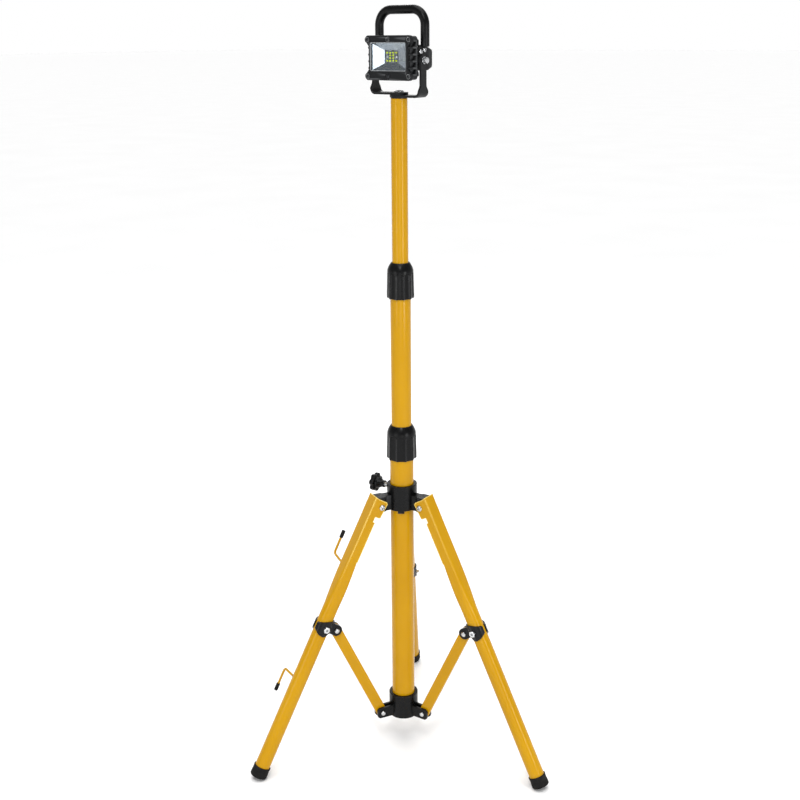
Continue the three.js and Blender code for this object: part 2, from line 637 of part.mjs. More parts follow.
function buildKnob(stand) {
  const axis = new THREE.Group();
  axis.position.z = UPPER_HUB_TOP - KNOB_DROP;
  axis.rotation.set(0, Math.PI / 2, 0);
  const turn = new THREE.Group();
  turn.rotation.z = LEGS[0].azimuth - KNOB_TURN;
  turn.add(axis);
  stand.add(turn);
  const face = KNOB_START + KNOB_NECK;
  const outline = new THREE.Shape();
  const steps = KNOB_LOBES * 6;
  for (let i = 0; i < steps; i++) {
    const angle = (2 * Math.PI * i) / steps;
    const radius = KNOB_RADIUS - KNOB_LOBE_DEPTH * (1 - Math.cos(KNOB_LOBES * angle)) / 2;
    const [x, y] = [radius * Math.cos(angle), radius * Math.sin(angle)];
    if (i === 0) outline.moveTo(x, y);
    else outline.lineTo(x, y);
  }
  const neck = turned([
    [0, KNOB_START],
    [KNOB_NECK_RADIUS, KNOB_START],
    [KNOB_NECK_RADIUS, KNOB_START + KNOB_COLLAR],
    [KNOB_HUB_RADIUS, face],
    [KNOB_HUB_RADIUS, face + SINK],
    [0, face + SINK],
  ], 24);
  const crown = turned([
    [0, face + KNOB_THICKNESS - SINK],
    [KNOB_HUB_RADIUS, face + KNOB_THICKNESS - SINK],
    [KNOB_HUB_RADIUS - CHAMFER, face + KNOB_THICKNESS + KNOB_CROWN],
    [0, face + KNOB_THICKNESS + KNOB_CROWN],
  ], 24);
  const bore = rod(STUD_RADIUS + GAP, KNOB_START - OVER, KNOB_START + STUD_IN_KNOB + GAP);
  const knob = cut(joined(neck, prism(outline, face, face + KNOB_THICKNESS), crown), bore);
  piece('clamp_knob', knob, BLACK_PLASTIC, axis);
  piece('clamp_stud', rod(STUD_RADIUS, HUB_BORE + GAP / 2, KNOB_START + STUD_IN_KNOB), ZINC, axis);
}

// ---------- legs: x outward, y sideways, z up the leg ----------

// the leg is round low down and is pressed to a flat-backed channel at the top:
// half depth, middle and superellipse exponent of its section at height t
function legForm(t) {
  const blend = THREE.MathUtils.smoothstep(t, PRESS_START_T, PRESS_END_T);
  return {
    depth: THREE.MathUtils.lerp(LEG_RADIUS, PRESS_DEPTH / 2, blend),
    middle: THREE.MathUtils.lerp(0, PRESS_OUT - PRESS_DEPTH / 2, blend),
    exponent: THREE.MathUtils.lerp(2, PRESS_SQUARENESS, blend),
  };
}

// the leg's half width at height t, measured at x
function legHalfWidth(t, x) {
  const { depth, middle, exponent } = legForm(t);
  const share = Math.min(1, Math.abs(x - middle) / depth);
  return LEG_RADIUS * (1 - share ** exponent) ** (1 / exponent);
}

function legSection(t, wall) {
  const form = legForm(t);
  const depth = form.depth - wall;
  const { middle } = form;
  const power = 2 / form.exponent;
  return Array.from({ length: LEG_SIDES }, (_, i) => {
    const angle = (2 * Math.PI * (i + 0.5)) / LEG_SIDES;
    const bulge = (value) => Math.sign(value) * Math.abs(value) ** power;
    return new THREE.Vector3(
      middle + depth * bulge(Math.cos(angle)),
      (LEG_RADIUS - wall) * bulge(Math.sin(angle)),
      t,
    );
  });
}

function legLoft(wall, low, high) {
  const heights = [low, PRESS_START_T];
  const steps = 5;
  for (let i = 1; i <= steps; i++) {
    heights.push(THREE.MathUtils.lerp(PRESS_START_T, PRESS_END_T, i / steps));
  }
  heights.push(high);
  return loft(heights.map((t) => legSection(t, wall)));
}

function legTube() {
  const half = LEG_RADIUS - LEG_WALL;
  const skin = cut(legLoft(0, FOOT_BASE + GAP, LEG_TOP_T), legLoft(LEG_WALL, 0, LEG_TOP_T + OVER));
  const pocket = block(-LEG_RADIUS - OVER, PRESS_OUT - LEG_WALL, -half, half,
    LEG_TOP_T - POCKET_LENGTH, LEG_TOP_T + OVER);
  const flange = PRESS_OUT - PRESS_DEPTH;
  const tab = polygon([
    [PRESS_OUT - 2 * LEG_WALL, LEG_TOP_T],
    [-TAB_REACH + TAB_CORNER, LEG_TOP_T],
    [-TAB_REACH, LEG_TOP_T - TAB_CORNER],
    [-TAB_REACH + TAB_TAPER, LEG_TOP_T - TAB_LENGTH],
    [flange, LEG_TOP_T - TAB_LENGTH],
    [flange, LEG_TOP_T - TAB_LENGTH - NOTCH.height],
    [flange - NOTCH.depth, LEG_TOP_T - TAB_LENGTH - NOTCH.height],
    [flange, LEG_TOP_T - TAB_LENGTH - NOTCH.height - NOTCH.edge],
    [PRESS_OUT - 2 * LEG_WALL, LEG_TOP_T - TAB_LENGTH - NOTCH.height - NOTCH.edge],
  ]);
  const tabs = joined(slab(tab, half, LEG_RADIUS), slab(tab, -LEG_RADIUS, -half));
  const across = (t, x) => alongY(rod(HOLE, -LEG_RADIUS - OVER, LEG_RADIUS + OVER))
    .translate([x, 0, t]);
  return cut(joined(cut(skin, pocket), tabs),
    across(CLAMP_T, 0), across(LEG_PIVOT_T, -LEG_PIVOT_D));
}

function footCap() {
  const cup = turned([
    [0, 0],
    [FOOT_RADIUS - CHAMFER, 0],
    [FOOT_RADIUS, CHAMFER],
    [FOOT_RADIUS, FOOT_LENGTH - CHAMFER],
    [FOOT_RADIUS - CHAMFER, FOOT_LENGTH],
    [LEG_RADIUS + GAP, FOOT_LENGTH],
    [LEG_RADIUS + GAP, FOOT_BASE],
    [0, FOOT_BASE],
  ]);
  const room = 3 * FOOT_RADIUS;
  const floor = block(-room, room, -room, room, -room, 0)
    .translate([0, 0, -FOOT_Z])
    .rotate([0, LEG_LEAN / DEG, 0]);
  return cut(cup, floor);
}

function legClamp() {
  const inner = LEG_RADIUS + GAP;
  const outer = inner + CLAMP_WALL;
  const band = new THREE.Shape();
  band.absarc(0, 0, outer, CLAMP_OPENING, 2 * Math.PI - CLAMP_OPENING, false);
  band.absarc(0, 0, inner, 2 * Math.PI - CLAMP_OPENING, CLAMP_OPENING, true);
  const shield = polygon([
    [-outer - OVER, CLAMP_T + CHEEK.innerTop],
    [0, CLAMP_T + CHEEK.top],
    [outer + OVER, CLAMP_T + CHEEK.outerTop],
    [outer + OVER, CLAMP_T + CHEEK.outerFoot],
    [outer / 2, CLAMP_T + CHEEK.tip + CHEEK.curve],
    [0, CLAMP_T + CHEEK.tip],
    [-outer / 4, CLAMP_T + CHEEK.tip + CHEEK.curve / 2],
    [-outer / 2, CLAMP_T + CHEEK.web],
    [-outer - OVER, CLAMP_T + CHEEK.web],
  ]);
  const saddle = prism(band, CLAMP_T + CHEEK.tip - OVER, CLAMP_T + CHEEK.innerTop + OVER, 10)
    .intersect(slab(shield, -outer - OVER, outer + OVER));
  const ear = new THREE.Shape();
  ear.moveTo(-inner - LUG_ROOT, CLAMP_T + LUG_RADIUS + 1);
  ear.absarc(-LUG_REACH, CLAMP_T, LUG_RADIUS, Math.PI / 2, 1.5 * Math.PI, false);
  ear.lineTo(-inner - LUG_ROOT, CLAMP_T + CHEEK.web);
  const web = block(-outer - OVER, -inner - LUG_ROOT, -EAR_OUT, EAR_OUT,
    CLAMP_T + CHEEK.web, CLAMP_T + LUG_RADIUS + 1);
  const ears = joined(slab(ear, EAR_IN, EAR_OUT), slab(ear, -EAR_OUT, -EAR_IN), web);
  const hole = (reach, x) => alongY(rod(HOLE, -reach, reach)).translate([x, 0, CLAMP_T]);
  const swing = joined(
    alongY(rod(BRACE_WIDTH / 2 + 2 * GAP, -EAR_IN, EAR_IN, 24)).translate([-LUG_REACH, 0, CLAMP_T]),
    block(-LUG_REACH, BRACE_WIDTH / 2 + 2 * GAP - LUG_REACH, -EAR_IN, EAR_IN,
      CLAMP_T + CHEEK.tip - OVER, CLAMP_T),
  ); // room for the brace's end as the leg folds
  return cut(joined(saddle, ears), swing, hole(outer + OVER, 0), hole(EAR_OUT + OVER, -LUG_REACH));
}

function cableHook(start, direction) {
  const side = new THREE.Vector3(1, 0, 0);
  const root = -legHalfWidth(start, -HOOK_D - HOOK_WIRE) - GAP;
  const corners = [
    new THREE.Vector3(-HOOK_D, root, start),
    new THREE.Vector3(-HOOK_D, -HOOK_OUT, start + direction * HOOK_RISE),
    new THREE.Vector3(-HOOK_D, -HOOK_OUT, start + direction * HOOK_LENGTH),
  ];
  return bar(bentPath(corners, HOOK_BEND, 6), HOOK_WIRE, side, 10);
}

function hookTip(start, direction) {
  const end = HOOK_LENGTH + TIP_COVER;
  const mouth = end - TIP_LENGTH;
  const sleeve = turned([
    [0, end],
    [TIP_RADIUS - CHAMFER, end],
    [TIP_RADIUS, end - CHAMFER],
    [TIP_RADIUS, mouth],
    [HOOK_WIRE + GAP, mouth],
    [HOOK_WIRE + GAP, HOOK_LENGTH + GAP],
    [0, HOOK_LENGTH + GAP],
  ], 12);
  const aimed = direction > 0 ? sleeve : sleeve.rotate([180, 0, 0]);
  return aimed.translate([-HOOK_D, -HOOK_OUT, start]);
}

function brace() {
  const outline = new THREE.Shape();
  const reach = { r: BRACE_HEAD.r - BRACE_FOOT_R, z: BRACE_HEAD.z - BRACE_FOOT_Z };
  const length = Math.hypot(reach.r, reach.z);
  const half = BRACE_WIDTH / 2;
  outline.absarc(0, length, half, 0, Math.PI, false);
  outline.absarc(0, 0, half, Math.PI, 2 * Math.PI, false);
  const hole = alongY(rod(HOLE, -BRACE_THICKNESS, BRACE_THICKNESS));
  return cut(slab(outline, -BRACE_THICKNESS / 2, BRACE_THICKNESS / 2, 10),
    hole, hole.translate([0, 0, length]));
}

function buildLeg(stand, { name, azimuth }) {
  const turn = new THREE.Group();
  turn.rotation.z = azimuth;
  stand.add(turn);
  const leg = new THREE.Group();
  leg.position.set(FOOT_REACH, 0, FOOT_Z);
  leg.rotation.y = -LEG_LEAN;
  turn.add(leg);
  piece(`leg_${name}`, legTube(), YELLOW, leg);
  piece(`foot_${name}`, footCap(), BLACK_RUBBER, leg);
  piece(`leg_clamp_${name}`, legClamp(), BLACK_PLASTIC, leg);
  const clampGrip = LEG_RADIUS + CLAMP_WALL + 2 * GAP;
  piece(`clamp_bolt_${name}`, hexBolt(clampGrip).translate([0, 0, CLAMP_T]), ZINC, leg);
  const screw = panScrew(LEG_RADIUS + GAP).translate([-LEG_PIVOT_D, 0, LEG_PIVOT_T]);
  piece(`leg_screw_${name}`, screw, ZINC, leg);
  const pin = rivet(EAR_OUT + GAP).translate([-LUG_REACH, 0, CLAMP_T]);
  piece(`brace_rivet_${name}`, pin, ZINC, leg);
  const strut = new THREE.Group();
  strut.position.set(BRACE_FOOT_R, 0, BRACE_FOOT_Z);
  strut.rotation.y = Math.atan2(BRACE_HEAD.r - BRACE_FOOT_R, BRACE_HEAD.z - BRACE_FOOT_Z);
  turn.add(strut);
  piece(`brace_${name}`, brace(), YELLOW, strut);
  return leg;
}

function buildHooks(leg) {
  for (const [name, start, way] of [['upper', UPPER_HOOK_T, 1], ['lower', LOWER_HOOK_T, -1]]) {
    piece(`cable_hook_${name}`, cableHook(start, way), YELLOW, leg);
    piece(`hook_tip_${name}`, hookTip(start, way), BLACK_RUBBER, leg);
  }
}

// ---------- bracket ----------

// one angle of strip: foot along +x from the round pad to the arm at the right
function bracketAngle(level) {
  const outer = ARM_INNER + STRIP;
  const bottom = level;
  const profile = new THREE.Shape();
  profile.moveTo(-TRIM, bottom);
  profile.absarc(outer - BEND_RADIUS, bottom + BEND_RADIUS, BEND_RADIUS, -Math.PI / 2, 0, false);
  profile.lineTo(outer, TILT_Z + TRIM);
  profile.lineTo(ARM_INNER, TILT_Z + TRIM);
  profile.absarc(outer - BEND_RADIUS, bottom + BEND_RADIUS, BEND_RADIUS - STRIP, 0, -Math.PI / 2, true);
  profile.lineTo(-TRIM, bottom + STRIP);
  const wide = BRACKET_FOOT_WIDTH / 2;
  const slim = ARM_WIDTH / 2;
  const front = new THREE.Shape();
  front.moveTo(-wide, bottom - OVER);
  front.lineTo(wide, bottom - OVER);
  front.lineTo(wide, bottom + WIDE_RISE - WIDE_SLOPE);
  front.lineTo(slim, bottom + WIDE_RISE);
  front.absarc(0, TILT_Z, ARM_END_RADIUS, -ARM_END_SWEEP, Math.PI + ARM_END_SWEEP, false);
  front.lineTo(-slim, bottom + WIDE_RISE);
  front.lineTo(-wide, bottom + WIDE_RISE - WIDE_SLOPE);
  const plan = new THREE.Shape();
  plan.absarc(-FOOT_PAD_SHIFT, 0, wide, Math.PI / 2, 1.5 * Math.PI, false);
  plan.lineTo(outer + OVER, -wide);
  plan.lineTo(outer + OVER, wide);
  const angle = slab(profile, -wide - OVER, wide + OVER, 8)
    .intersect(cheek(front, -TRIM, TRIM, 10))
    .intersect(prism(plan, bottom - OVER, TILT_Z + TRIM, 10));
  return cut(angle,
    rod(MOUNT_BOLT_RADIUS + SHANK_FIT, bottom - OVER, bottom + STRIP + OVER),
    alongX(rod(HOLE, ARM_INNER - OVER, outer + OVER)).translate([0, 0, TILT_Z]));
}

function buildBracket(stand) {
  const upper = BRACKET_Z + STRIP + GAP;
  piece('bracket_right', bracketAngle(BRACKET_Z), BLACK_STRIP, stand);
  const left = bracketAngle(upper).rotate([0, 0, 180]);
  piece('bracket_left', left, BLACK_STRIP, stand);
  const seat = upper + STRIP + GAP;
  const { radius, height, crown, shoulder, edge } = MOUNT_HEAD;
  const bolt = joined(
    rod(MOUNT_BOLT_RADIUS, TOP_TOP - PLUG_DEPTH + OVER, seat + height / 2),
    turned([[0, seat], [radius, seat], [radius - shoulder, seat + height - edge],
      [radius - crown, seat + height], [0, seat + height]], 24),
  );
  piece('mount_bolt', bolt, ZINC, stand);
}

// ---------- lamp head ----------

// a four-sided taper between two rectangles that lie across y
function taper(y0, half0, y1, half1, rise = 0) {
  const rect = (y, [x, z]) => [[-x, -z], [x, -z], [x, z], [-x, z]]
    .map(([u, v]) => new THREE.Vector3(u, y, rise + v));
  return loft([rect(y0, half0), rect(y1, half1)]);
}

function paneOutline({ width, height }) {
  return roundedRect(width, height, WINDOW.corner, WINDOW.rise);
}

function bezel() {
  const { front, back, lip, corner } = BEZEL;
  const { width, height } = BEZEL_SIZE;
  const frame = slab(roundedRect(width, height, corner), front, back);
  const root = FIN_ROOT - BEZEL_WAIST.inset;
  const waist = BEZEL_WAIST.height / 2;
  const bite = polygon([
    [root, waist - BEZEL_WAIST.slope],
    [width / 2 + OVER, waist],
    [width / 2 + OVER, -waist],
    [root, BEZEL_WAIST.slope - waist],
  ]);
  const side = slab(bite, front - OVER, back + OVER);
  const window = paneOutline(WINDOW_SIZE);
  const seat = paneOutline(grown(GLASS_SIZE, GAP, GAP));
  return cut(frame, side, side.mirror([1, 0, 0]),
    slab(window, front - OVER, back + OVER),
    slab(seat, front + lip, back + OVER));
}

function housing() {
  const { width, height, back, corner } = HOUSING;
  const front = BEZEL.back + GAP;
  const core = slab(roundedRect(width, height, corner), front, back);
  const gap = FIN.pitch - FIN.thickness;
  const slots = [];
  for (let i = -2; i <= 2; i++) {
    const z = i * FIN.pitch;
    const slot = block(FIN_ROOT, width / 2 + OVER, front - OVER, back - FIN.wall, z - gap / 2, z + gap / 2);
    slots.push(slot, slot.mirror([1, 0, 0]));
  }
  const nose = new THREE.Shape();
  nose.moveTo(FIN_ROOT + GAP, front + SINK);
  nose.lineTo(FIN_ROOT + GAP, BEZEL.front + 2 * FIN.nose);
  nose.lineTo(FIN_ROOT + FIN.slope, BEZEL.front + FIN.nose);
  nose.lineTo(width / 2 - FIN.tip, front + SINK);
  const fins = [];
  for (let i = -2; i < 2; i++) {
    const z = (i + 0.5) * FIN.pitch;
    const fin = prism(nose, z - FIN.thickness / 2, z + FIN.thickness / 2);
    fins.push(fin, fin.mirror([1, 0, 0]));
  }
  const rear = [];
  const boxHalf = BOX.height / 2 + GAP;
  for (let i = 0; i < REAR_FIN.count; i++) {
    const x = (i - (REAR_FIN.count - 1) / 2) * REAR_FIN.pitch;
    const half = REAR_FIN.thickness / 2;
    const reach = REAR_FIN.height / 2;
    rear.push(
      block(x - half, x + half, back - SINK, back + REAR_FIN.depth, boxHalf - BOX.drop, reach),
      block(x - half, x + half, back - SINK, back + REAR_FIN.depth, -reach, -boxHalf - BOX.drop),
    );
  }
  const pocket = slab(paneOutline(POCKET_SIZE),
    front - OVER, REFLECTOR.floorY + LED.rise + BOARD.thickness + GAP);
  return cut(joined(cut(core, ...slots), ...fins, ...rear), pocket);
}

function reflector(front) {
  const { flange, floorWidth, floorHeight, floorY, wall } = REFLECTOR;
  const back = front + flange;
  const mouth = [WINDOW_SIZE.width / 2 - REFLECTOR.mouth[0], WINDOW_SIZE.height / 2 - REFLECTOR.mouth[1]];
  const floor = [floorWidth / 2, floorHeight / 2];
  const grow = ([x, z], by) => [x + by, z + by];
  const plate = slab(paneOutline(GLASS_SIZE), front, back);
  const outside = taper(back - 0.5, grow(mouth, wall), floorY, grow(floor, wall), WINDOW.rise);
  const inside = taper(front - 0.01, mouth, floorY + 0.01, floor, WINDOW.rise);
  return cut(joined(plate, outside), inside);
}

function ledBoard() {
  const face = REFLECTOR.floorY + LED.rise;
  const { width, height, thickness } = BOARD;
  const plate = block(-width / 2, width / 2, face, face + thickness,
    WINDOW.rise - height / 2, WINDOW.rise + height / 2);
  const chips = [];
  for (let row = 0; row < LED.rows; row++) {
    for (let column = 0; column < LED.columns; column++) {
      const edgeColumn = column === 0 || column === LED.columns - 1;
      const middleRow = row > 0 && row < LED.rows - 1;
      if (edgeColumn && middleRow) continue; // the board's two screws sit here
      const x = (column - (LED.columns - 1) / 2) * LED.pitchX;
      const z = WINDOW.rise + (row - (LED.rows - 1) / 2) * LED.pitchZ;
      chips.push(block(x - LED.width / 2, x + LED.width / 2, face - LED.rise + GAP, face + GAP,
        z - LED.height / 2, z + LED.height / 2));
    }
  }
  return joined(plate, ...chips);
}

function driverBox() {
  const { height, back, taper: draw, drop, wall, taperLength } = BOX;
  const front = HOUSING.back + GAP;
  const half = [BOX_SIZE.width / 2, BOX_SIZE.height / 2];
  const backHalf = [half[0] - draw[0], half[1] - draw[1]];
  const shrink = ([x, z]) => [x - wall, z - wall];
  const straight = back - taperLength;
  const shell = joined(taper(front, half, straight, half, -drop),
    taper(straight - 0.01, half, back, backHalf, -drop));
  const hollow = joined(taper(front - OVER, shrink(half), straight, shrink(half), -drop),
    taper(straight - 0.01, shrink(half), back - wall, shrink(backHalf), -drop));
  const boss = (side) => alongX(rod(BOSS_RADIUS, half[0] - SINK, ARM_INNER - GAP, 24))
    .translate([0, 0, -TILT_DROP]).rotate([0, 0, side > 0 ? 0 : 180]);
  const across = (radius, y, z) => alongX(rod(radius, -ARM_INNER - OVER, ARM_INNER + OVER))
    .translate([0, y, z]);
  return cut(joined(cut(shell, hollow), boss(1), boss(-1)),
    across(HOLE, 0, -TILT_DROP),
    ...HANDLE_SCREWS.map(({ y, z }) => across(HANDLE_SCREW.shank + SHANK_FIT, y, z)),
    alongY(rod(BUTTON.radius + GAP, back - wall - OVER, back + OVER, 24)).translate([0, 0, -drop]),
    rod(GLAND.bore, -drop - height, -drop, SMALL).translate([0, GLAND.y, 0]));
}

function cableGland() {
  const top = -BOX.drop - BOX.height / 2 - GAP;
  const { radius, collar: thick, height, bore, dome: domeRadius, tip, slope } = GLAND;
  const nut = rod(radius, top - thick, top, 6);
  const dome = turned([
    [0, top - thick + GAP],
    [domeRadius, top - thick + GAP],
    [domeRadius, top - height + slope],
    [tip, top - height],
    [0, top - height],
  ], 20);
  const neck = rod(bore - GAP, top - SINK, top + BOX.wall + GAP);
  return cut(joined(nut, dome, neck), rod(bore / 2, top - height - OVER, top - height / 2, 12))
    .translate([0, GLAND.y, 0]);
}

function powerButton() {
  const { radius, proud, skirt, skirtHeight } = BUTTON;
  const inside = BOX.back - BOX.wall - GAP;
  const cap = turned([
    [0, inside - skirtHeight],
    [radius + skirt, inside - skirtHeight],
    [radius + skirt, inside],
    [radius, inside],
    [radius, BOX.back + proud - CHAMFER],
    [radius - CHAMFER, BOX.back + proud],
    [0, BOX.back + proud],
  ], 24);
  return alongY(cap.mirror([0, 0, 1])).rotate([0, 0, 180]).translate([0, 0, -BOX.drop]);
}

function handle() {
  const { y, radius, top, bottom, bend } = HANDLE;
  const half = BOX_SIZE.width / 2 + HANDLE.out;
  const corners = [
    new THREE.Vector3(-half, y, bottom),
    new THREE.Vector3(-half, y, top),
    new THREE.Vector3(half, y, top),
    new THREE.Vector3(half, y, bottom),
  ];
  const grip = bar(bentPath(corners, bend, 6), radius, new THREE.Vector3(0, 1, 0), SMALL);
  const inner = BOX_SIZE.width / 2 + GAP;
  const { thickness, front, back, bottom: low, corner, sink, slope } = TONGUE;
  const plate = new THREE.Shape();
  plate.absarc(back - corner, low + corner, corner, -Math.PI / 2, 0, false);
  plate.lineTo(back, bottom + sink);
  plate.lineTo(front + slope, bottom + sink);
  plate.lineTo(front, bottom + sink - slope);
  plate.absarc(front + corner, low + corner, corner, Math.PI, 1.5 * Math.PI, false);
  const tongue = cheek(plate, inner, inner + thickness);
  const holes = HANDLE_SCREWS.map(({ y: at, z }) => (
    alongX(rod(HANDLE_SCREW.shank + SHANK_FIT, -half - radius, half + radius)).translate([0, at, z])
  ));
  return cut(joined(grip, tongue, tongue.mirror([1, 0, 0])), ...holes);
}

function handleScrew() {
  const seat = BOX_SIZE.width / 2 + GAP + TONGUE.thickness + GAP;
  const { shank, radius, height, bite } = HANDLE_SCREW;
  return alongX(joined(
    rod(shank, seat - bite, seat + height / 2, 12),
    turned([[0, seat], [radius, seat], [radius * 0.8, seat + height * 0.7],
      [radius * 0.4, seat + height], [0, seat + height]], SMALL),
  ));
}

function pivotBolt() {
  const outer = ARM_INNER + STRIP + GAP;
  const inner = BOX_SIZE.width / 2 - BOX.wall - GAP;
  return alongX(joined(
    rod(PIVOT_SHANK, inner - PIVOT_HEX.height / 2, outer + WASHER.height),
    rod(PIVOT_HEX.radius, inner - PIVOT_HEX.height, inner, 6),
    rod(WASHER.radius, outer, outer + WASHER.height, 20),
    rod(PIVOT_HEX.radius, outer + WASHER.height - 0.2, outer + WASHER.height + PIVOT_HEX.height, 6),
  )).translate([0, 0, -TILT_DROP]);
}

function buildHead(stand) {
  const head = new THREE.Group();
  head.position.z = TILT_Z + TILT_DROP;
  stand.add(head);
  const glassFront = BEZEL.front + BEZEL.lip + GAP;
  const reflectorFront = glassFront + GLASS.thickness + GAP;
  const pane = slab(paneOutline(GLASS_SIZE),
    glassFront, glassFront + GLASS.thickness);
  piece('bezel', bezel(), BLACK_CAST, head);
  piece('glass', pane, CLEAR, head);
  piece('reflector', reflector(reflectorFront), SILVER, head);
  piece('led_board', ledBoard(), BOARD_WHITE, head);
  piece('housing', housing(), BLACK_CAST, head);
  piece('driver_box', driverBox(), BLACK_CAST, head);
  piece('cable_gland', cableGland(), BLACK_PLASTIC, head);
  piece('power_button', powerButton(), BLACK_RUBBER, head);
  piece('handle', handle(), BLACK_PLASTIC, head);
  for (const [side, turn] of [['right', 0], ['left', 180]]) {
    piece(`pivot_bolt_${side}`, pivotBolt().rotate([0, 0, turn]), ZINC, head);
    HANDLE_SCREWS.forEach(({ y, z }, i) => {
      const screw = handleScrew().rotate([0, 0, turn]).translate([0, y, z]);
      piece(`handle_screw_${side}_${i === 0 ? 'front' : 'rear'}`, screw, ZINC, head);
    });
  }
}

// ---------- assembly ----------

const tripod = new THREE.Group();
tripod.rotation.z = STAND_TURN;
const upright = new THREE.Group(); // everything centred on the mast axis
upright.add(tripod);
buildMast(upright);
buildHubs(tripod);
buildKnob(tripod);
for (const leg of LEGS) {
  const frame = buildLeg(tripod, leg);
  if (leg.name === 'left') buildHooks(frame);
}
buildBracket(upright);
buildHead(upright);

// the origin is the middle of the whole outline, on the floor
upright.updateMatrixWorld(true);
const middle = new THREE.Box3().setFromObject(upright, true).getCenter(new THREE.Vector3());
upright.position.set(-middle.x, -middle.y, 0);

const workLight = new THREE.Group();
workLight.add(upright);

export default workLight;
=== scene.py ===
"""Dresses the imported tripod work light: finer shapes and finishes round the fixed frame."""

import json
from functools import partial
from math import acos, atan2, cos, hypot, pi, radians, sin, tan
from types import SimpleNamespace as Sizes

import bmesh
import bpy
from mathutils import Matrix, Vector


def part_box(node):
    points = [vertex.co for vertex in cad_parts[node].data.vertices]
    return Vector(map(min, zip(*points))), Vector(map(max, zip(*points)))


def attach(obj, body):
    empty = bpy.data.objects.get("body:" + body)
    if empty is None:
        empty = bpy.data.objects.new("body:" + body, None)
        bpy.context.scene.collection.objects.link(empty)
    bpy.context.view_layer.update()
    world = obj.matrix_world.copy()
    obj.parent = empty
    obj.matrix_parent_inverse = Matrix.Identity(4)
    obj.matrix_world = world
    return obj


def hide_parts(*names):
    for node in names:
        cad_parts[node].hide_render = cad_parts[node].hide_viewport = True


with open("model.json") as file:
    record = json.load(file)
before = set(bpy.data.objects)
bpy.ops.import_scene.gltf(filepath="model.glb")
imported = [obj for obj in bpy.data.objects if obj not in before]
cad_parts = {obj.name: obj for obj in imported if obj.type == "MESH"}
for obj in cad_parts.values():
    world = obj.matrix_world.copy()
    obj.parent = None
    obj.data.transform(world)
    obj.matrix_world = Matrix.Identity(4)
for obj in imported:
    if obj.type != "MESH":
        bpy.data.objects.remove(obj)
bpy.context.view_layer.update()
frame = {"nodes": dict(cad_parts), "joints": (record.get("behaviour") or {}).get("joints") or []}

# Sizes are in millimetres and become metres when a piece is finished.
MM = 0.001
GAP = 0.3  # between pieces that fit together
ROUND, SMALL = 96, 32  # sides of a large round and of a small one
SAME_POINT = 1e-5  # where a ring closes to a tip
WELD = 1e-3  # after a boolean or a bevel
STRAIGHT = radians(179)  # a corner too flat to round
CORNER_SHARE = 0.49  # most of a side that one rounded corner takes
RIM_STEPS = 3


# ---- places read from the frame ----

def corners(node):
    low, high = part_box(node)
    return low / MM, high / MM


def centre(node):
    low, high = corners(node)
    return (low + high) / 2


def radius_of(node):
    low, high = corners(node)
    return (high.x - low.x) / 2


joints = {joint["name"]: joint for joint in frame["joints"]}


def joint_place(name):
    return Vector(joints[name]["pos_m"]) / MM


LEGS = ("left", "right", "back")
MAST = centre("lower_tube").xy.to_3d()
TILT = joint_place("head_tilt")
TILT_DROP = 3.4  # the tilt axis under the middle of the lamp's bezel
HEAD = Matrix.Translation(TILT + Vector((0, 0, TILT_DROP)))
UPRIGHT = Matrix.Translation(MAST)


def about_mast(angle):
    return Matrix.Rotation(angle, 4, "Z")


def azimuth(leg):
    axis = joints[f"leg_{leg}_fold"]["axis"]
    return atan2(-axis[0], axis[1])


def spoke(leg):
    """x runs out from the mast over the leg, z up."""
    return UPRIGHT @ about_mast(azimuth(leg))


def planar(leg, place):
    """Distance from the mast and height, in the leg's own plane."""
    local = spoke(leg).inverted() @ place
    return local.x, local.z


def leg_frame(leg):
    """Origin in the clamp on the leg's axis, x outward square to the leg, z up the leg."""
    r_axis, z_axis = planar("right", centre("clamp_bolt_right"))
    r_brace, z_brace = planar("right", joint_place("leg_right_fold"))
    lean = atan2(z_axis - z_brace, r_axis - r_brace)
    r, z = planar(leg, centre(f"clamp_bolt_{leg}"))
    return spoke(leg) @ shift(r, 0, z) @ Matrix.Rotation(-lean, 4, "Y")


# ---- shapes: closed bmesh solids in millimetres ----

def skin(rings, loop=False):
    """Joins rings of points, each with the same count, into one closed surface."""
    bm = bmesh.new()
    rows = [[bm.verts.new(p) for p in points] for points in rings]
    count = len(rows[0])
    for low, high in zip(rows, rows[1:] + rows[:1] if loop else rows[1:]):
        for i in range(count):
            j = (i + 1) % count
            bm.faces.new((low[i], low[j], high[j], high[i]))
    if not loop:
        bm.faces.new(reversed(rows[0]))
        bm.faces.new(rows[-1])
    bmesh.ops.remove_doubles(bm, verts=bm.verts, dist=SAME_POINT)
    bmesh.ops.recalc_face_normals(bm, faces=bm.faces)
    return bm


def rounded(points, loop=True, steps=4):
    """Points (x, y) or (x, y, radius): a corner with a radius becomes an arc."""
    out = []
    for i, point in enumerate(points):
        here = Vector(point[:2])
        radius = point[2] if len(point) > 2 else 0
        back = Vector(points[i - 1][:2]) - here
        ahead = Vector(points[(i + 1) % len(points)][:2]) - here
        at_end = not loop and i in (0, len(points) - 1)
        if not radius or at_end or back.angle(ahead) > STRAIGHT:
            out.append(here)
            continue
        half = back.angle(ahead) / 2
        trim = min(radius / tan(half), CORNER_SHARE * back.length, CORNER_SHARE * ahead.length)
        radius = trim * tan(half)
        middle = here + (back.normalized() + ahead.normalized()).normalized() * radius / sin(half)
        start = here + back.normalized() * trim - middle
        end = here + ahead.normalized() * trim - middle
        sweep = atan2(start.x * end.y - start.y * end.x, start.dot(end))
        for k in range(steps + 1):
            out.append(middle + Matrix.Rotation(sweep * k / steps, 2) @ start)
    return out


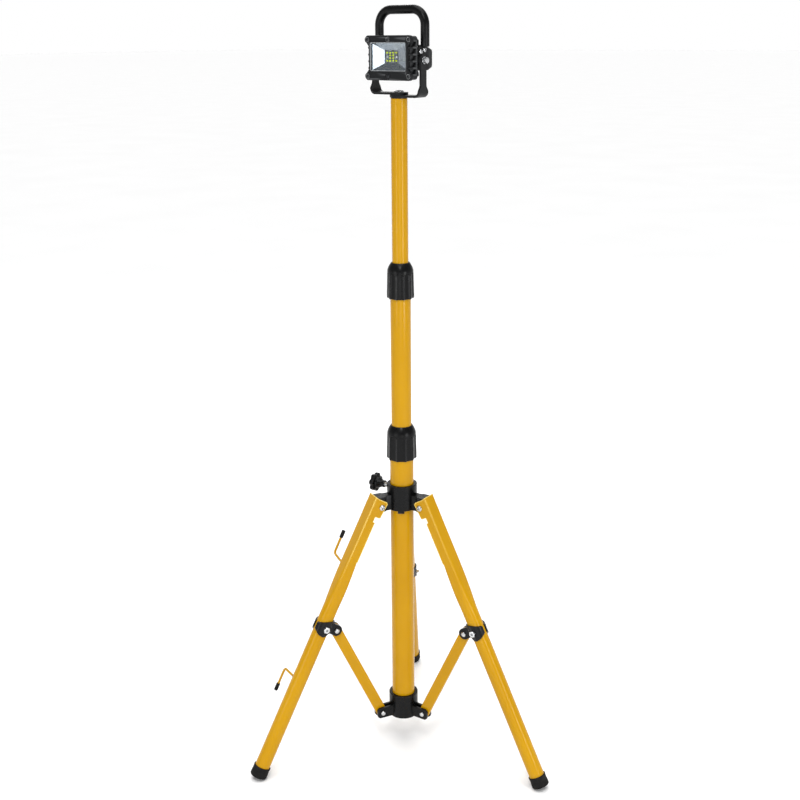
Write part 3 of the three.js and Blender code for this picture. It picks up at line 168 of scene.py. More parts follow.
def arc(x, y, radius, start, end, steps):
    angles = [radians(start + (end - start) * k / steps) for k in range(steps + 1)]
    return [(x + radius * cos(a), y + radius * sin(a)) for a in angles]


def directions(sides):
    return [2 * pi * k / sides for k in range(sides)]


def quarter(steps):
    return [pi / 2 * k / steps for k in range(steps + 1)]


def circle(radius, height, angles):
    return [Vector((radius * cos(a), radius * sin(a), height)) for a in angles]


def oblong(x0, x1, y0, y1, corner=0.0):
    return [(x0, y0, corner), (x1, y0, corner), (x1, y1, corner), (x0, y1, corner)]


def turned(profile, sides=ROUND, loop=False):
    """A profile of (radius, height) or (radius, height, rounding) turned round Z."""
    angles = directions(sides)
    return skin([circle(r, z, angles) for r, z in rounded(profile, loop)], loop)


def rod(radius, low, high, sides=SMALL, edge=0.0):
    return turned([(0, low), (radius, low, edge), (radius, high, edge), (0, high)], sides)


def ring(outer, inner, low, high, sides=ROUND, edge=0.0):
    return turned(oblong(inner, outer, low, high, edge), sides, loop=True)


def inset(outline, distance):
    """The outline moved inward; it runs anticlockwise."""
    sharpest = 0.3  # keeps a sharp corner from running away
    out = []
    count = len(outline)
    for i, here in enumerate(outline):
        into = (here - outline[i - 1]).normalized()
        away = (outline[(i + 1) % count] - here).normalized()
        normals = Vector((-into.y, into.x)) + Vector((-away.y, away.x))
        square = normals.length / 2
        out.append(here + normals.normalized() * distance / max(square, sharpest))
    return out


def prism(points, low, high, edge=0.0, steps=4):
    """An outline of (x, y) or (x, y, radius) raised along Z, with rounded rims."""
    outline = rounded(points, steps=steps)
    kept = [p for i, p in enumerate(outline) if (p - outline[i - 1]).length > 10 * SAME_POINT]
    area = sum(a.x * b.y - b.x * a.y for a, b in zip(kept, kept[1:] + kept[:1]))
    if area < 0:
        kept.reverse()
    if edge:
        levels = [(low + edge * (1 - sin(a)), edge * (1 - cos(a))) for a in quarter(RIM_STEPS)]
        stack = levels[::-1] + [(high + low - z, d) for z, d in levels]
    else:
        stack = [(low, 0.0), (high, 0.0)]
    return skin([[Vector((p.x, p.y, z)) for p in inset(kept, d)] for z, d in stack])


def slab(points, y0, y1, edge=0.0, **kwargs):
    """An outline drawn in x and z, from y0 to y1."""
    return placed(prism(points, -y1, -y0, edge, **kwargs), turn(90, "X"))


def cheek(points, x0, x1, edge=0.0, **kwargs):
    """An outline drawn in y and z, from x0 to x1."""
    return placed(prism(points, x0, x1, edge, **kwargs), turn(90, "Z") @ turn(90, "X"))


def block(x0, x1, y0, y1, z0, z1):
    return prism(oblong(x0, x1, y0, y1), z0, z1)


def rect(width, height, corner, rise=0.0):
    x, y = width / 2, height / 2
    return oblong(-x, x, rise - y, rise + y, corner)


def placed(bm, matrix):
    bm.transform(matrix)
    return bm


def shift(x, y, z):
    return Matrix.Translation((x, y, z))


def turn(degrees_round, axis):
    return Matrix.Rotation(radians(degrees_round), 4, axis)


ALONG_Y = turn(-90, "X")
ALONG_X = turn(90, "Y")


def stamped(bm, places, y, face):
    """Copies turned to face, at places in x and z."""
    return [placed(bm.copy(), shift(x, y, z) @ face) for x, z in places]


def mirrored(bm):
    copy = bm.copy()
    copy.transform(Matrix.Scale(-1, 4, (1, 0, 0)))
    bmesh.ops.reverse_faces(copy, faces=copy.faces)
    return copy


def bent_path(stops, bend, steps=10):
    """(place, direction) along straight runs between the stops, joined by arcs."""
    stops = [Vector(s) for s in stops]
    path = [(stops[0], (stops[1] - stops[0]).normalized())]
    for before, here, after in zip(stops, stops[1:], stops[2:]):
        into, away = (here - before).normalized(), (after - here).normalized()
        angle = into.angle(away)
        side = (away - into * into.dot(away)).normalized()
        start = here - into * bend * tan(angle / 2)
        for k in range(steps + 1):
            a = angle * k / steps
            place = start + into * bend * sin(a) + side * bend * (1 - cos(a))
            path.append((place, into * cos(a) + side * sin(a)))
    path.append((stops[-1], (stops[-1] - stops[-2]).normalized()))
    return path


def bar(path, section, side):
    """Sweeps a section, points across and along side, down a path in one plane."""
    side = Vector(side)
    rings = []
    for place, along in path:
        across = side.cross(along).normalized()
        rings.append([place + across * u + side * v for u, v in section])
    return skin(rings)


def disc(radius, sides=24):
    return [(radius * cos(a), radius * sin(a)) for a in directions(sides)]


def added(name, data):
    obj = bpy.data.objects.new(name, data)
    bpy.context.scene.collection.objects.link(obj)
    return obj


def as_mesh(name, bm):
    mesh = bpy.data.meshes.new(name)
    bm.to_mesh(mesh)
    bm.free()
    return mesh


def combined(base, others, operation):
    """Boolean of bmesh solids; takes them all over."""
    body, *tools = [added("solid", as_mesh("solid", bm)) for bm in (base, *others)]
    for tool in tools:
        modifier = body.modifiers.new("solid", "BOOLEAN")
        modifier.object = tool
        modifier.operation = operation
        modifier.solver = "EXACT"
    out = bmesh.new()
    out.from_object(body, bpy.context.evaluated_depsgraph_get())
    for obj in (body, *tools):
        bpy.data.meshes.remove(obj.data)  # takes its object with it
    bmesh.ops.remove_doubles(out, verts=out.verts, dist=WELD)
    bmesh.ops.dissolve_degenerate(out, edges=out.edges, dist=WELD)
    return out


def joined(base, *others):
    return combined(base, others, "UNION")


def cut(base, *others):
    return combined(base, others, "DIFFERENCE")


def common(base, other):
    return combined(base, [other], "INTERSECT")


def eased(bm, width, angle=50):
    """Rounds every edge sharper than the angle."""
    bmesh.ops.dissolve_limit(bm, angle_limit=radians(1), verts=bm.verts, edges=bm.edges)
    sharp = [e for e in bm.edges if len(e.link_faces) == 2 and e.calc_face_angle(0) > radians(angle)]
    bmesh.ops.bevel(bm, geom=sharp, offset=width, segments=2, profile=0.5,
                    affect="EDGES", clamp_overlap=True)
    bmesh.ops.remove_doubles(bm, verts=bm.verts, dist=WELD)
    return bm


def together(*parts):
    """Separate solids kept in one piece."""
    out = bmesh.new()
    for part in parts:
        mesh = as_mesh("part", part)
        out.from_mesh(mesh)
        bpy.data.meshes.remove(mesh)
    return out


def finish(name, bm, look, *replaces, place=HEAD, body="head", smooth=40):
    """Makes the piece: in metres, shaded, riding on its body."""
    material, slot = look
    mesh = as_mesh(name, placed(bm, Matrix.Scale(MM, 4) @ place))
    mesh.materials.append(material)
    mesh.shade_smooth()
    mesh.set_sharp_from_angle(angle=radians(smooth))
    piece = added(name, mesh)
    weights = piece.modifiers.new("even_shading", "WEIGHTED_NORMAL")
    weights.keep_sharp = True
    weights.weight = 60
    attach(piece, body)
    if replaces:
        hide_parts(*replaces)


def dress(node, suffix, bm, place, look, body):
    """Makes the piece that replaces one node and is named after it."""
    finish(f"{node}_{suffix}", bm, look, node, place=place, body=body)


# ---- materials ----

class Nodes:
    """The node tree of a material or a world, with a few helpers."""

    def __init__(self, owner, shader="Principled BSDF"):
        owner.use_nodes = True
        self.owner = owner
        self.tree = owner.node_tree
        self.shader = self.tree.nodes[shader]

    def fill(self, node, inputs):
        """Sets inputs by name, or links the ones that are given an output."""
        for key, value in inputs.items():
            socket = node.inputs[key.replace("_", " ")]
            if isinstance(value, bpy.types.NodeSocket):
                self.tree.links.new(value, socket)
            else:
                socket.default_value = value

    def new(self, kind, **inputs):
        node = self.tree.nodes.new("ShaderNode" + kind)
        self.fill(node, inputs)
        return node

    def shade(self, **inputs):
        self.fill(self.shader, inputs)
        return self.owner

    def noise(self, scale, detail, roughness=0.5, stretch=None):
        place = self.new("TexCoord").outputs["Object"]
        if stretch:
            place = self.new("Mapping", Vector=place, Scale=stretch).outputs["Vector"]
        return self.new("TexNoise", Vector=place, Scale=scale, Detail=detail,
                        Roughness=roughness).outputs["Fac"]

    def ramp(self, factor, *stops):
        """A colour ramp; a stop is a position and a tone or a value."""
        node = self.new("ValToRGB", Fac=factor)
        elements = node.color_ramp.elements
        while len(elements) < len(stops):
            elements.new(0.5)
        for element, (position, value) in zip(elements, stops):
            element.position = position
            element.color = (*value, 1) if isinstance(value, tuple) else (value, value, value, 1)
        return node.outputs["Color"]

    def wander(self, scale, detail, low, high, margin=0.3):
        """Noise that wanders between two tones or two values."""
        return self.ramp(self.noise(scale, detail), (margin, low), (1 - margin, high))

    def mix(self, factor, base, tone):
        node = self.new("Mix")
        node.data_type = "RGBA"
        sockets = {s.identifier: s for s in node.inputs}
        self.tree.links.new(factor, sockets["Factor_Float"])
        self.tree.links.new(base, sockets["A_Color"])
        sockets["B_Color"].default_value = (*tone, 1)
        return next(s for s in node.outputs if s.identifier == "Result_Color")

    def edges(self):
        """Bright where the surface is convex and sharp, dark in hollows."""
        return self.new("NewGeometry").outputs["Pointiness"]

    def fold(self, radius):
        """One on flat and gently curved skin, less beside a sharp fold."""
        likeness = self.new("VectorMath")
        likeness.operation = "DOT_PRODUCT"
        self.tree.links.new(self.new("Bevel", Radius=radius).outputs["Normal"], likeness.inputs[0])
        self.tree.links.new(self.new("NewGeometry").outputs["Normal"], likeness.inputs[1])
        return likeness.outputs["Value"]

    def grain(self, scale, detail, strength, depth, stretch=None):
        return self.new("Bump", Height=self.noise(scale, detail, stretch=stretch), Strength=strength,
                        Distance=depth).outputs["Normal"]


# Pointiness mask: the layers that use it paint highlights on convex edges and shade in hollows.
EDGES = Nodes.edges
# Mask for the painted highlight along the legs' pressed folds.
FOLD_HIGHLIGHT_MASK = partial(Nodes.fold, radius=0.0026)  # metres
DUST = partial(Nodes.noise, scale=55, detail=5, roughness=0.65)


def coat(name, tone, gloss, grain, *layers, **constants):
    """A material. Its tone is (noise scale, detail, low, high) and the ramp's margin, its gloss the
    same for roughness or one value, its grain (noise scale, detail, strength, depth in metres), and
    each layer (mask, (start, amount), (end, amount), tone)."""
    n = Nodes(bpy.data.materials.new(name))
    base = n.wander(*tone)
    for mask, *stops, laid_over in layers:
        base = n.mix(n.ramp(mask(n), *stops), base, laid_over)
    return n.shade(Base_Color=base, Roughness=n.wander(*gloss) if isinstance(gloss, tuple) else gloss,
                   Normal=n.grain(*grain), **constants)


PAINT = ((9, 3, (0.465, 0.236, 0.001), (0.495, 0.257, 0.002), 0.35), (30, 3, 0.11, 0.17),
         (420, 2, 0.035, 0.0001))
PAINT_SHEEN = {"Specular_IOR_Level": 0.15, "Coat_Weight": 0.02, "Coat_Roughness": 0.05}

# Each look is a material and the name of a slot.
OXIDE = coat(
    "black_oxide_screw", (400, 3, (0.035, 0.037, 0.04), (0.07, 0.072, 0.076), 0.35),
    (200, 3, 0.3, 0.42), (1200, 2, 0.1, 0.0001), Metallic=1.0), "black_steel"
SEAL = coat(
    "pale_grey_silicone", (150, 3, (0.3, 0.315, 0.33), (0.38, 0.395, 0.41), 0.35),
    (90, 2, 0.45, 0.6), (1500, 2, 0.15, 0.0001), IOR=1.43), "grey_nylon"
YELLOW = coat("yellow_powder_coat", *PAINT, **PAINT_SHEEN), "yellow_paint"
# The legs' yellow, with a paler line painted along each fold as a highlight.
YELLOW_WITH_PAINTED_FOLD_HIGHLIGHT = coat(
    "yellow_powder_coat_with_painted_fold_highlight", *PAINT, (FOLD_HIGHLIGHT_MASK, (0.9, 1.0), (0.985, 0.0), (0.93, 0.76, 0.24)),
    **PAINT_SHEEN), "yellow_paint"
PLASTIC = coat(
    "moulded_black_nylon", (40, 4, (0.0018, 0.0019, 0.0021), (0.003, 0.0032, 0.0035)),
    # Paler convex edges: a painted edge highlight.
    (120, 3, 0.24, 0.36), (1400, 2, 0.12, 0.0001), (EDGES, (0.52, 0.0), (0.6, 1.0), (0.026, 0.027, 0.029)),
    IOR=1.48, Specular_IOR_Level=0.16), "black_plastic"
RUBBER = coat(
    "black_rubber_dull", (200, 2, (0.0065, 0.0064, 0.0063), (0.01, 0.0098, 0.0096)),
    (90, 3, 0.62, 0.78), (1500, 3, 0.3, 0.0002), (DUST, (0.55, 0.0), (0.8, 1.0), (0.02, 0.019, 0.018)),
    IOR=1.45, Specular_IOR_Level=0.12), "black_rubber"
ZINC = coat(
    "bright_zinc_plate", (300, 3, (0.42, 0.43, 0.44), (0.56, 0.57, 0.58), 0.35),
    (180, 3, 0.18, 0.3), (900, 2, 0.08, 0.0001, (1, 1, 8)),
    # Painted shade darkens the hollows, and a painted highlight lightens the convex edges.
    (EDGES, (0.42, 1.0), (0.49, 0.0), (0.24, 0.243, 0.247)),
    (EDGES, (0.52, 0.0), (0.58, 1.0), (0.72, 0.73, 0.74)), Metallic=1.0), "zinc_steel"
CASTING = coat(
    "black_cast_coat", (60, 4, (0.0075, 0.008, 0.0088), (0.012, 0.0127, 0.0138)),
    # Paler convex edges: a painted edge highlight.
    (140, 3, 0.38, 0.52), (1300, 3, 0.35, 0.0002), (EDGES, (0.53, 0.0), (0.62, 1.0), (0.06, 0.062, 0.065)),
    Specular_IOR_Level=0.12), "black_casting"
STRIP = coat(
    "black_coated_strip", (45, 4, (0.0085, 0.0088, 0.0095), (0.013, 0.0135, 0.0142)),
    (120, 3, 0.34, 0.46), (1000, 2, 0.18, 0.00015), Specular_IOR_Level=0.14), "black_steel"
GLASS = coat(
    "clear_front_glass", (20, 2, (0.93, 0.96, 0.97), (0.97, 0.985, 0.985)), 0.02, (25, 1, 0.02, 0.0001),
    IOR=1.18, Transmission_Weight=1.0), "front_glass"
REFLECTOR = coat(
    "bright_aluminium", (90, 3, (0.27, 0.295, 0.33), (0.32, 0.345, 0.38), 0.35),
    (160, 2, 0.1, 0.16), (700, 2, 0.06, 0.0001), Metallic=1.0), "reflector_metal"
BOARD = coat(
    "white_solder_mask", (120, 3, (0.12, 0.135, 0.15), (0.16, 0.175, 0.19), 0.35),
    (80, 2, 0.35, 0.45), (1200, 2, 0.08, 0.0001)), "led_board_white"
PHOSPHOR = coat(
    "led_phosphor_yellow", (500, 3, (0.74, 0.9, 0.004), (0.84, 0.98, 0.01), 0.35),
    (300, 2, 0.25, 0.4), (2500, 2, 0.15, 0.0001), IOR=1.45), "led_board_white"
NYLON = coat(
    "grey_nylon_bush", (60, 3, (0.16, 0.165, 0.17), (0.2, 0.205, 0.21), 0.35),
    (90, 2, 0.45, 0.55), (1600, 2, 0.15, 0.0001)), "grey_nylon"


# ---- camera, floor and light ----

CAMERA_PLACE = Vector((126.7, -1793.3, 1169.9))  # from the mast's foot, before the tripod's turn
CAMERA_PAN, CAMERA_TILT, CAMERA_ROLL = -0.0717, 0.2994, -0.0079
CAMERA_LENS = 53.2
STAND_TURN = radians(34)


def build_camera():
    pan = CAMERA_PAN - STAND_TURN
    forward = Vector((sin(pan) * cos(CAMERA_TILT), cos(pan) * cos(CAMERA_TILT), -sin(CAMERA_TILT)))
    right = Vector((cos(pan), -sin(pan), 0))
    camera = added("camera", bpy.data.cameras.new("camera"))
    camera.data.sensor_width = 36
    camera.data.lens = CAMERA_LENS
    camera.data.clip_end = 300
    place = (MAST + Matrix.Rotation(STAND_TURN, 4, "Z") @ CAMERA_PLACE) * MM
    axes = Matrix((right, right.cross(forward), -forward)).transposed().to_4x4()
    camera.matrix_world = Matrix.Translation(place) @ axes @ Matrix.Rotation(CAMERA_ROLL, 4, "Z")
    bpy.context.scene.camera = camera
    return pan


def area_light(name, view_turn, distance, height, size, watts, aim):
    """A soft box at a turn in degrees from the camera's side, aimed at a height on the mast."""
    data = bpy.data.lights.new(name, "AREA")
    data.shape = "RECTANGLE"
    data.size, data.size_y = size
    data.energy = watts
    light = added(name, data)
    heading = VIEW_PAN + pi + radians(view_turn)
    place = MAST * MM + Vector((sin(heading) * distance, cos(heading) * distance, height))
    target = MAST * MM + Vector((0, 0, aim))
    light.location = place
    light.rotation_euler = (target - place).to_track_quat("-Z", "Y").to_euler()


def build_world():
    """White round the horizon, greyer overhead."""
    n = Nodes(bpy.data.worlds.new("studio"), "Background")
    height = n.new("SeparateXYZ", Vector=n.new("TexCoord").outputs["Generated"]).outputs["Z"]
    bpy.context.scene.world = n.shade(
        Color=n.ramp(height, (0.0, 1.0), (0.05, 1.0), (0.18, 0.36), (1.0, 0.36)))


def build_lights():
    data = bpy.data.lights.new("overhead", "SUN")
    data.energy = 2.2
    data.angle = radians(60)
    added("overhead", data).rotation_euler = (radians(5), radians(4), 0)
    area_light("box_left", 46, 2.2, 0.8, (0.6, 1.1), 8, 0.8)
    area_light("box_right", -41, 2.2, 0.7, (0.5, 1.0), 13, 0.7)
    area_light("front_top", 4, 1.8, 2.6, (0.3, 0.3), 15, 0.9)
    area_light("front_low", 0, 2.6, 0.5, (1.0, 0.9), 5, 0.45)
    area_light("back_fill", 178, 2.4, 2.4, (1.4, 1.2), 26, 0.6)


def build_floor():
    floor = bpy.data.meshes.new("floor")
    reach = 80.0  # metres
    floor.from_pydata(oblong(-reach, reach, -reach, reach), [], [(0, 1, 2, 3)])
    n = Nodes(bpy.data.materials.new("pale_floor"))
    floor.materials.append(n.shade(Base_Color=n.wander(2, 2, 0.93, 0.95), Roughness=0.95,
                                   Specular_IOR_Level=0.1))
    plane = added("floor", floor)


VIEW_PAN = build_camera()
build_world()
build_lights()
build_floor()
bpy.context.scene.view_settings.view_transform = "Standard"


# ---- fasteners, along Z with the head on top ----

def hex_head(radius, low, high, hollow=0.0):
    """Hexagon with its upper corners turned away, and a round hollow in its top."""
    chamfer, hollow_depth = 1.1, 0.7
    flats = radius * cos(pi / 6)
    cone = turned([(0, low), (radius + 1, low), (radius + 1, high - chamfer), (flats * 0.93, high),
                   (0, high)], 48)
    head = common(prism(disc(radius, 6), low, high), cone)
    return cut(head, rod(hollow, high - hollow_depth, high + 1)) if hollow else head


def dome(radius, low, height, crown=0.35):
    """Low domed head; crown is its flat middle as a share of the radius."""
    upright = 0.25  # share of the height that stands straight
    profile = [(0, low), (radius, low)]
    for a in quarter(8):
        rise = upright + (1 - upright) * sin(a)
        profile.append((radius * (crown + (1 - crown) * cos(a)), low + height * rise))
    profile.append((0, low + height))
    return turned(profile, SMALL)


def screw_head(radius, low, height, reach=0.55):
    """Domed head with a cross recess that reaches over a share of the radius."""
    length, top = radius * reach, low + height
    width, depth = length * 0.36, height * 0.6
    bars = [block(-length, length, -width / 2, width / 2, top - depth, top + 1),
            block(-width / 2, width / 2, -length, length, top - depth, top + 1)]
    centre_hole = rod(width * 0.8, top - depth * 1.3, top + 1, 16)
    return cut(dome(radius, low, height, 0.45), *bars, centre_hole)


def cross_pin(head, tail, reach, face):
    """Two heads and the shank between them, across a leg; face says where the head looks."""
    return together(placed(head, face), placed(tail, face @ turn(180, "X")),
                    placed(rod(3, -reach, reach), face))


# ---- mast ----

TUBES = (("lower_tube", "mast", 1.5), ("middle_tube", "middle_mast", 1.5), ("top_tube", "top_mast", 1.3))


def build_tubes():
    for node, body, wall in TUBES:
        low, high = corners(node)
        radius = radius_of(node)
        tube = ring(radius, radius - wall, low.z, high.z, edge=0.4)
        dress(node, "steel", tube, UPRIGHT, YELLOW, body)


COLLAR_FLUTES, FLUTE_DEPTH = 10, 2.3
SHOULDER = 14.0  # height of the domed shoulder over the flutes
ARCH = 5.0  # how far a flute's arched top falls towards its ridges
FOOT_ROUND = 2.0  # height of the rounding at the foot


def smooth_step(x):
    x = min(max(x, 0.0), 1.0)
    return x * x * (3 - 2 * x)


def collar_radius(angle, z, height, radius, mouth):
    """Outer skin of a collar: domed shoulder, arched flutes, a slight flare to the foot."""
    flare, lip, foot_inset, flute_end = 0.8, 1.2, 1.6, 0.7
    shoulder = height - SHOULDER
    out = radius - flare * smooth_step(z / shoulder)
    if z > shoulder:
        rise = (z - shoulder) / SHOULDER
        out -= (out - mouth - lip) * rise ** 1.7
    if z < FOOT_ROUND:
        out -= foot_inset * (1 - sin(acos(1 - z / FOOT_ROUND)))
    across = ((angle / (2 * pi) * COLLAR_FLUTES) % 1) * 2 - 1  # from ridge to ridge
    arch_top = shoulder - 0.5 - ARCH * across * across
    inside = smooth_step((arch_top - z) / flute_end)
    return out - FLUTE_DEPTH * (1 - abs(across) ** 2.6) * inside


def build_collars():
    step = 13.2  # the bore narrows this far under the top
    for node, tube in (("collar_lower", "lower_tube"), ("collar_upper", "middle_tube")):
        low, high = corners(node)
        height, radius = high.z - low.z, radius_of(node)
        bore = radius_of(tube) + GAP
        mouth = bore - 3.2
        angles = directions(COLLAR_FLUTES * 20)
        shoulder = height - SHOULDER
        levels = [FOOT_ROUND * (1 - cos(a)) for a in quarter(4)]
        levels += [FOOT_ROUND + (shoulder - 10) * k / 6 for k in range(1, 7)]
        levels += [shoulder - 8 + 8.4 * k / 28 for k in range(1, 29)]
        levels += [shoulder + 0.4 + (SHOULDER - 0.4) * k / 12 for k in range(1, 13)]
        rings = [[Vector((cos(a), sin(a), 0)) * collar_radius(a, z, height, radius, mouth)
                  + Vector((0, 0, z)) for a in angles] for z in levels]
        rings += [circle(r, z, angles) for r, z in (
            (mouth + 0.4, height), (mouth, height - 0.5), (mouth - 0.6, height - step),
            (bore, height - step - 3), (bore, 0.6), (bore + 0.6, 0))]
        dress(node, "grip", skin(rings, loop=True), UPRIGHT @ shift(0, 0, low.z), PLASTIC, node)


# ---- hubs ----

HUB_RADIUS = 24.4
EAR_IN, EAR_OUT = 3.3, 7.6
LUG_RADIUS = 9.4
PIN_SEAT = EAR_OUT + GAP
KNOB_AXIS = Vector(joints["knob_turn"]["axis"])
KNOB_FRAME = shift(0, 0, joint_place("knob_turn").z) @ about_mast(atan2(KNOB_AXIS.y, KNOB_AXIS.x)) @ ALONG_X
TAB_FRAME = about_mast(azimuth("left") + radians(60))


def build_lower_hub():
    low, high = corners("lower_hub")
    floor = corners("lower_tube")[0].z - GAP
    bore = radius_of("lower_tube") + GAP
    cup = turned([(0, low.z), (HUB_RADIUS, low.z, 1.6), (HUB_RADIUS, high.z, 1.2), (bore, high.z, 0.5),
                  (bore, floor), (0, floor)])
    r_pin, z_pin = planar("right", joint_place("brace_right_fold"))
    root = HUB_RADIUS - 2
    ear = [(root, z_pin - LUG_RADIUS), (r_pin + LUG_RADIUS, z_pin - LUG_RADIUS, 5.5),
           (r_pin + LUG_RADIUS, z_pin + LUG_RADIUS, 5.5), (root, z_pin + LUG_RADIUS)]
    lugs = [placed(slab(ear, y0, y1, 0.5), about_mast(azimuth(leg)))
            for leg in LEGS for y0, y1 in ((EAR_IN, EAR_OUT), (-EAR_OUT, -EAR_IN))]
    dress("lower_hub", "moulding", eased(joined(cup, *lugs), 0.5), UPRIGHT, PLASTIC, "mast")
    for leg in LEGS:
        rivet = cross_pin(dome(4.1, PIN_SEAT, 2.8), dome(4.1, PIN_SEAT, 2.4, 0.45), EAR_OUT + 1, ALONG_Y)
        dress(f"hub_rivet_{leg}", "bright", rivet, spoke(leg) @ shift(r_pin, 0, z_pin), ZINC, "mast")


def build_upper_hub():
    low, high = corners("upper_hub")
    bore = radius_of("lower_tube") + GAP
    tab_drop, tab_half = 3.6, 5.3
    base = low.z + tab_drop
    sleeve = turned([(bore, base, 0.4), (HUB_RADIUS, base, 1.0), (HUB_RADIUS, high.z, 1.4),
                     (bore, high.z, 0.6)], loop=True)
    r_pin, z_pin = planar("right", centre("leg_screw_right"))
    tip, rise, half = r_pin + 7.7, z_pin + 16.5, 10.7
    root = HUB_RADIUS - 3
    side = [(root, base + 1), (tip, base + 1, 3.5), (tip, rise, 2.5), (root, rise)]
    waist, neck = 7.6, r_pin - 9.5
    plan = [(root - 1, -waist), (neck, -waist, 2), (neck + 2.5, -half, 1.5), (tip + 1, -half),
            (tip + 1, half), (neck + 2.5, half, 1.5), (neck, waist, 2), (root - 1, waist)]
    arms = [placed(common(slab(side, -half, half, 0.6), prism(plan, low.z, high.z + 1)),
                   about_mast(azimuth(leg))) for leg in LEGS]
    boss_top = HUB_RADIUS + 1.2
    boss = placed(turned([(0, root), (6.6, root), (6.0, boss_top, 0.5), (0, boss_top)], 40), KNOB_FRAME)
    tab = common(ring(HUB_RADIUS - 0.3, bore, low.z, base + 3),
                 placed(block(10, 40, -tab_half, tab_half, low.z - 1, base + 2), TAB_FRAME))
    hub = joined(sleeve, *arms, tab, boss)
    stud_hole = placed(rod(4.3, 5, 60), KNOB_FRAME)
    slot_half, slot_run = 3.4, 10.0
    slot = rect(2 * slot_half, slot_run + 2 * slot_half, slot_half - 0.1, slot_run / 2)
    slots = [placed(slab(slot, -half - 2, half + 2), about_mast(azimuth(leg)) @ shift(r_pin, 0, z_pin))
             for leg in LEGS]
    hub = eased(cut(hub, stud_hole, *slots), 0.5)
    dress("upper_hub", "moulding", hub, UPRIGHT, PLASTIC, "slide_hub")


def build_knob():
    start, face, thick, edge = 33.0, 48.2, 8.0, 2.0
    lobes, rim, valley = 7, 15.5, 2.8
    neck, neck_end, flare, flare_length = 5.8, 4.0, 3.7, 10.0
    angles = directions(lobes * 20)

    def star(height, shrink):
        out = []
        for a in angles:
            wave = (1 - cos(lobes * a)) / 2
            out += circle(rim - valley * wave ** 1.4 - shrink, height, [a])
        return out

    profile = [(neck - 0.6, start), (neck, start + 0.6), (neck, start + neck_end)]
    profile += [(neck + flare * smooth_step(k / 8), start + neck_end + flare_length * k / 8)
                for k in range(1, 9)]
    profile.append((neck + 4, face - 0.4))
    rings = [circle(r, z, angles) for r, z in profile]
    rings += [star(face + edge * (1 - cos(a)), edge * (1 - sin(a))) for a in quarter(4)]
    rings += [star(face + thick - edge * (1 - sin(a)), edge * (1 - cos(a))) for a in quarter(4)]
    rings += [circle(r, face + thick + rise, angles)
              for r, rise in ((9.6, 0.2), (9.2, 1.2), (8.4, 1.6), (0, 1.6))]
    dress("clamp_knob", "star", skin(rings), UPRIGHT @ KNOB_FRAME, PLASTIC, "knob")
    pitch, low, high, root, crest = 1.25, 19.5, 40.0, 3.55, 4.0
    profile = [(0, low)]
    z = low
    while z < high - pitch:
        profile += [(root, z), (crest, z + pitch * 0.45), (crest, z + pitch * 0.55)]
        z += pitch
    profile += [(root, z), (crest, z + 0.4), (crest, high + 10), (0, high + 10)]
    dress("clamp_stud", "threaded", turned(profile, SMALL), UPRIGHT @ KNOB_FRAME, ZINC, "knob")


# ---- legs: heights run from the clamp ----

LEG_RADIUS, LEG_WALL, LEG_SIDES = 12.5, 1.5, 72
LEG_FOOT, LEG_TOP = -274.0, 230.0
PRESS_START, PRESS_END = 26.0, 181.0  # the round tube is pressed flat between these
PRESS_OUT, PRESS_DEPTH = 10.0, 13.0
LEG_SOCKET = LEG_RADIUS + GAP
LUG_REACH = 24.5


def leg_section(t, wall):
    """The leg's outline at a height: round below, a rounded box where it is pressed."""
    blend = smooth_step((t - PRESS_START) / (PRESS_END - PRESS_START))
    depth = LEG_RADIUS + (PRESS_DEPTH / 2 - LEG_RADIUS) * blend - wall
    middle = (PRESS_OUT - PRESS_DEPTH / 2) * blend
    power = 2 / (2 + 9 * blend)

    def bulge(value):
        return abs(value) ** power * (1 if value > 0 else -1)

    angles = [2 * pi * (k + 0.5) / LEG_SIDES for k in range(LEG_SIDES)]
    return [Vector((middle + depth * bulge(cos(a)), (LEG_RADIUS - wall) * bulge(sin(a)), t))
            for a in angles]


def from_top(*points):
    """An outline whose heights run from the leg's top."""
    return [(x, LEG_TOP + z, *corner) for x, z, *corner in points]


def leg_tube():
    """A pressed tube, open to the inside at its top between two tabs, and cut off at a slant."""
    heights = [LEG_FOOT + 4.3, PRESS_START]
    heights += [PRESS_START + (PRESS_END - PRESS_START) * k / 18 for k in range(1, 19)]
    outer = skin([leg_section(t, 0) for t in heights + [LEG_TOP + 3]])
    inner = skin([leg_section(t, LEG_WALL) for t in [LEG_FOOT - 2] + heights[1:] + [LEG_TOP + 6]])
    half = LEG_RADIUS - LEG_WALL
    pocket = block(-20, PRESS_OUT - LEG_WALL, -half, half, LEG_TOP - 52, LEG_TOP + 8)
    web = PRESS_OUT - 2 * LEG_WALL
    tab = from_top((web, 2), (-15, -1.2, 4.5), (-12.5, -30, 2.5), (-3, -29.6, 0.8), (-3, -38, 0.8),
                   (-6.5, -38.6, 1.2), (-6.2, -110), (web, -110))
    tabs = [slab(tab, half, LEG_RADIUS), slab(tab, -LEG_RADIUS, -half)]
    slant = from_top((-30, -0.8), (-8, -0.6), (3, 0.2), (14, 3.2), (14, 12), (-30, 12))
    body = joined(cut(outer, inner, pocket), *tabs)
    return eased(cut(body, slab(slant, -20, 20)), 0.35)


def foot_cap():
    radius, length = 14.2, 19.0
    cup = turned([(0, 0), (radius, 0, 2.2), (radius, length * 0.45, 0.3),
                  (radius - 0.5, length * 0.52, 0.3), (radius - 0.3, length - 2.6, 0.3),
                  (radius, length - 2.2, 0.3), (radius, length, 0.6),
                  (LEG_SOCKET, length, 0.3), (LEG_SOCKET, 4), (0, 4)])
    return placed(cup, shift(0, 0, LEG_FOOT))


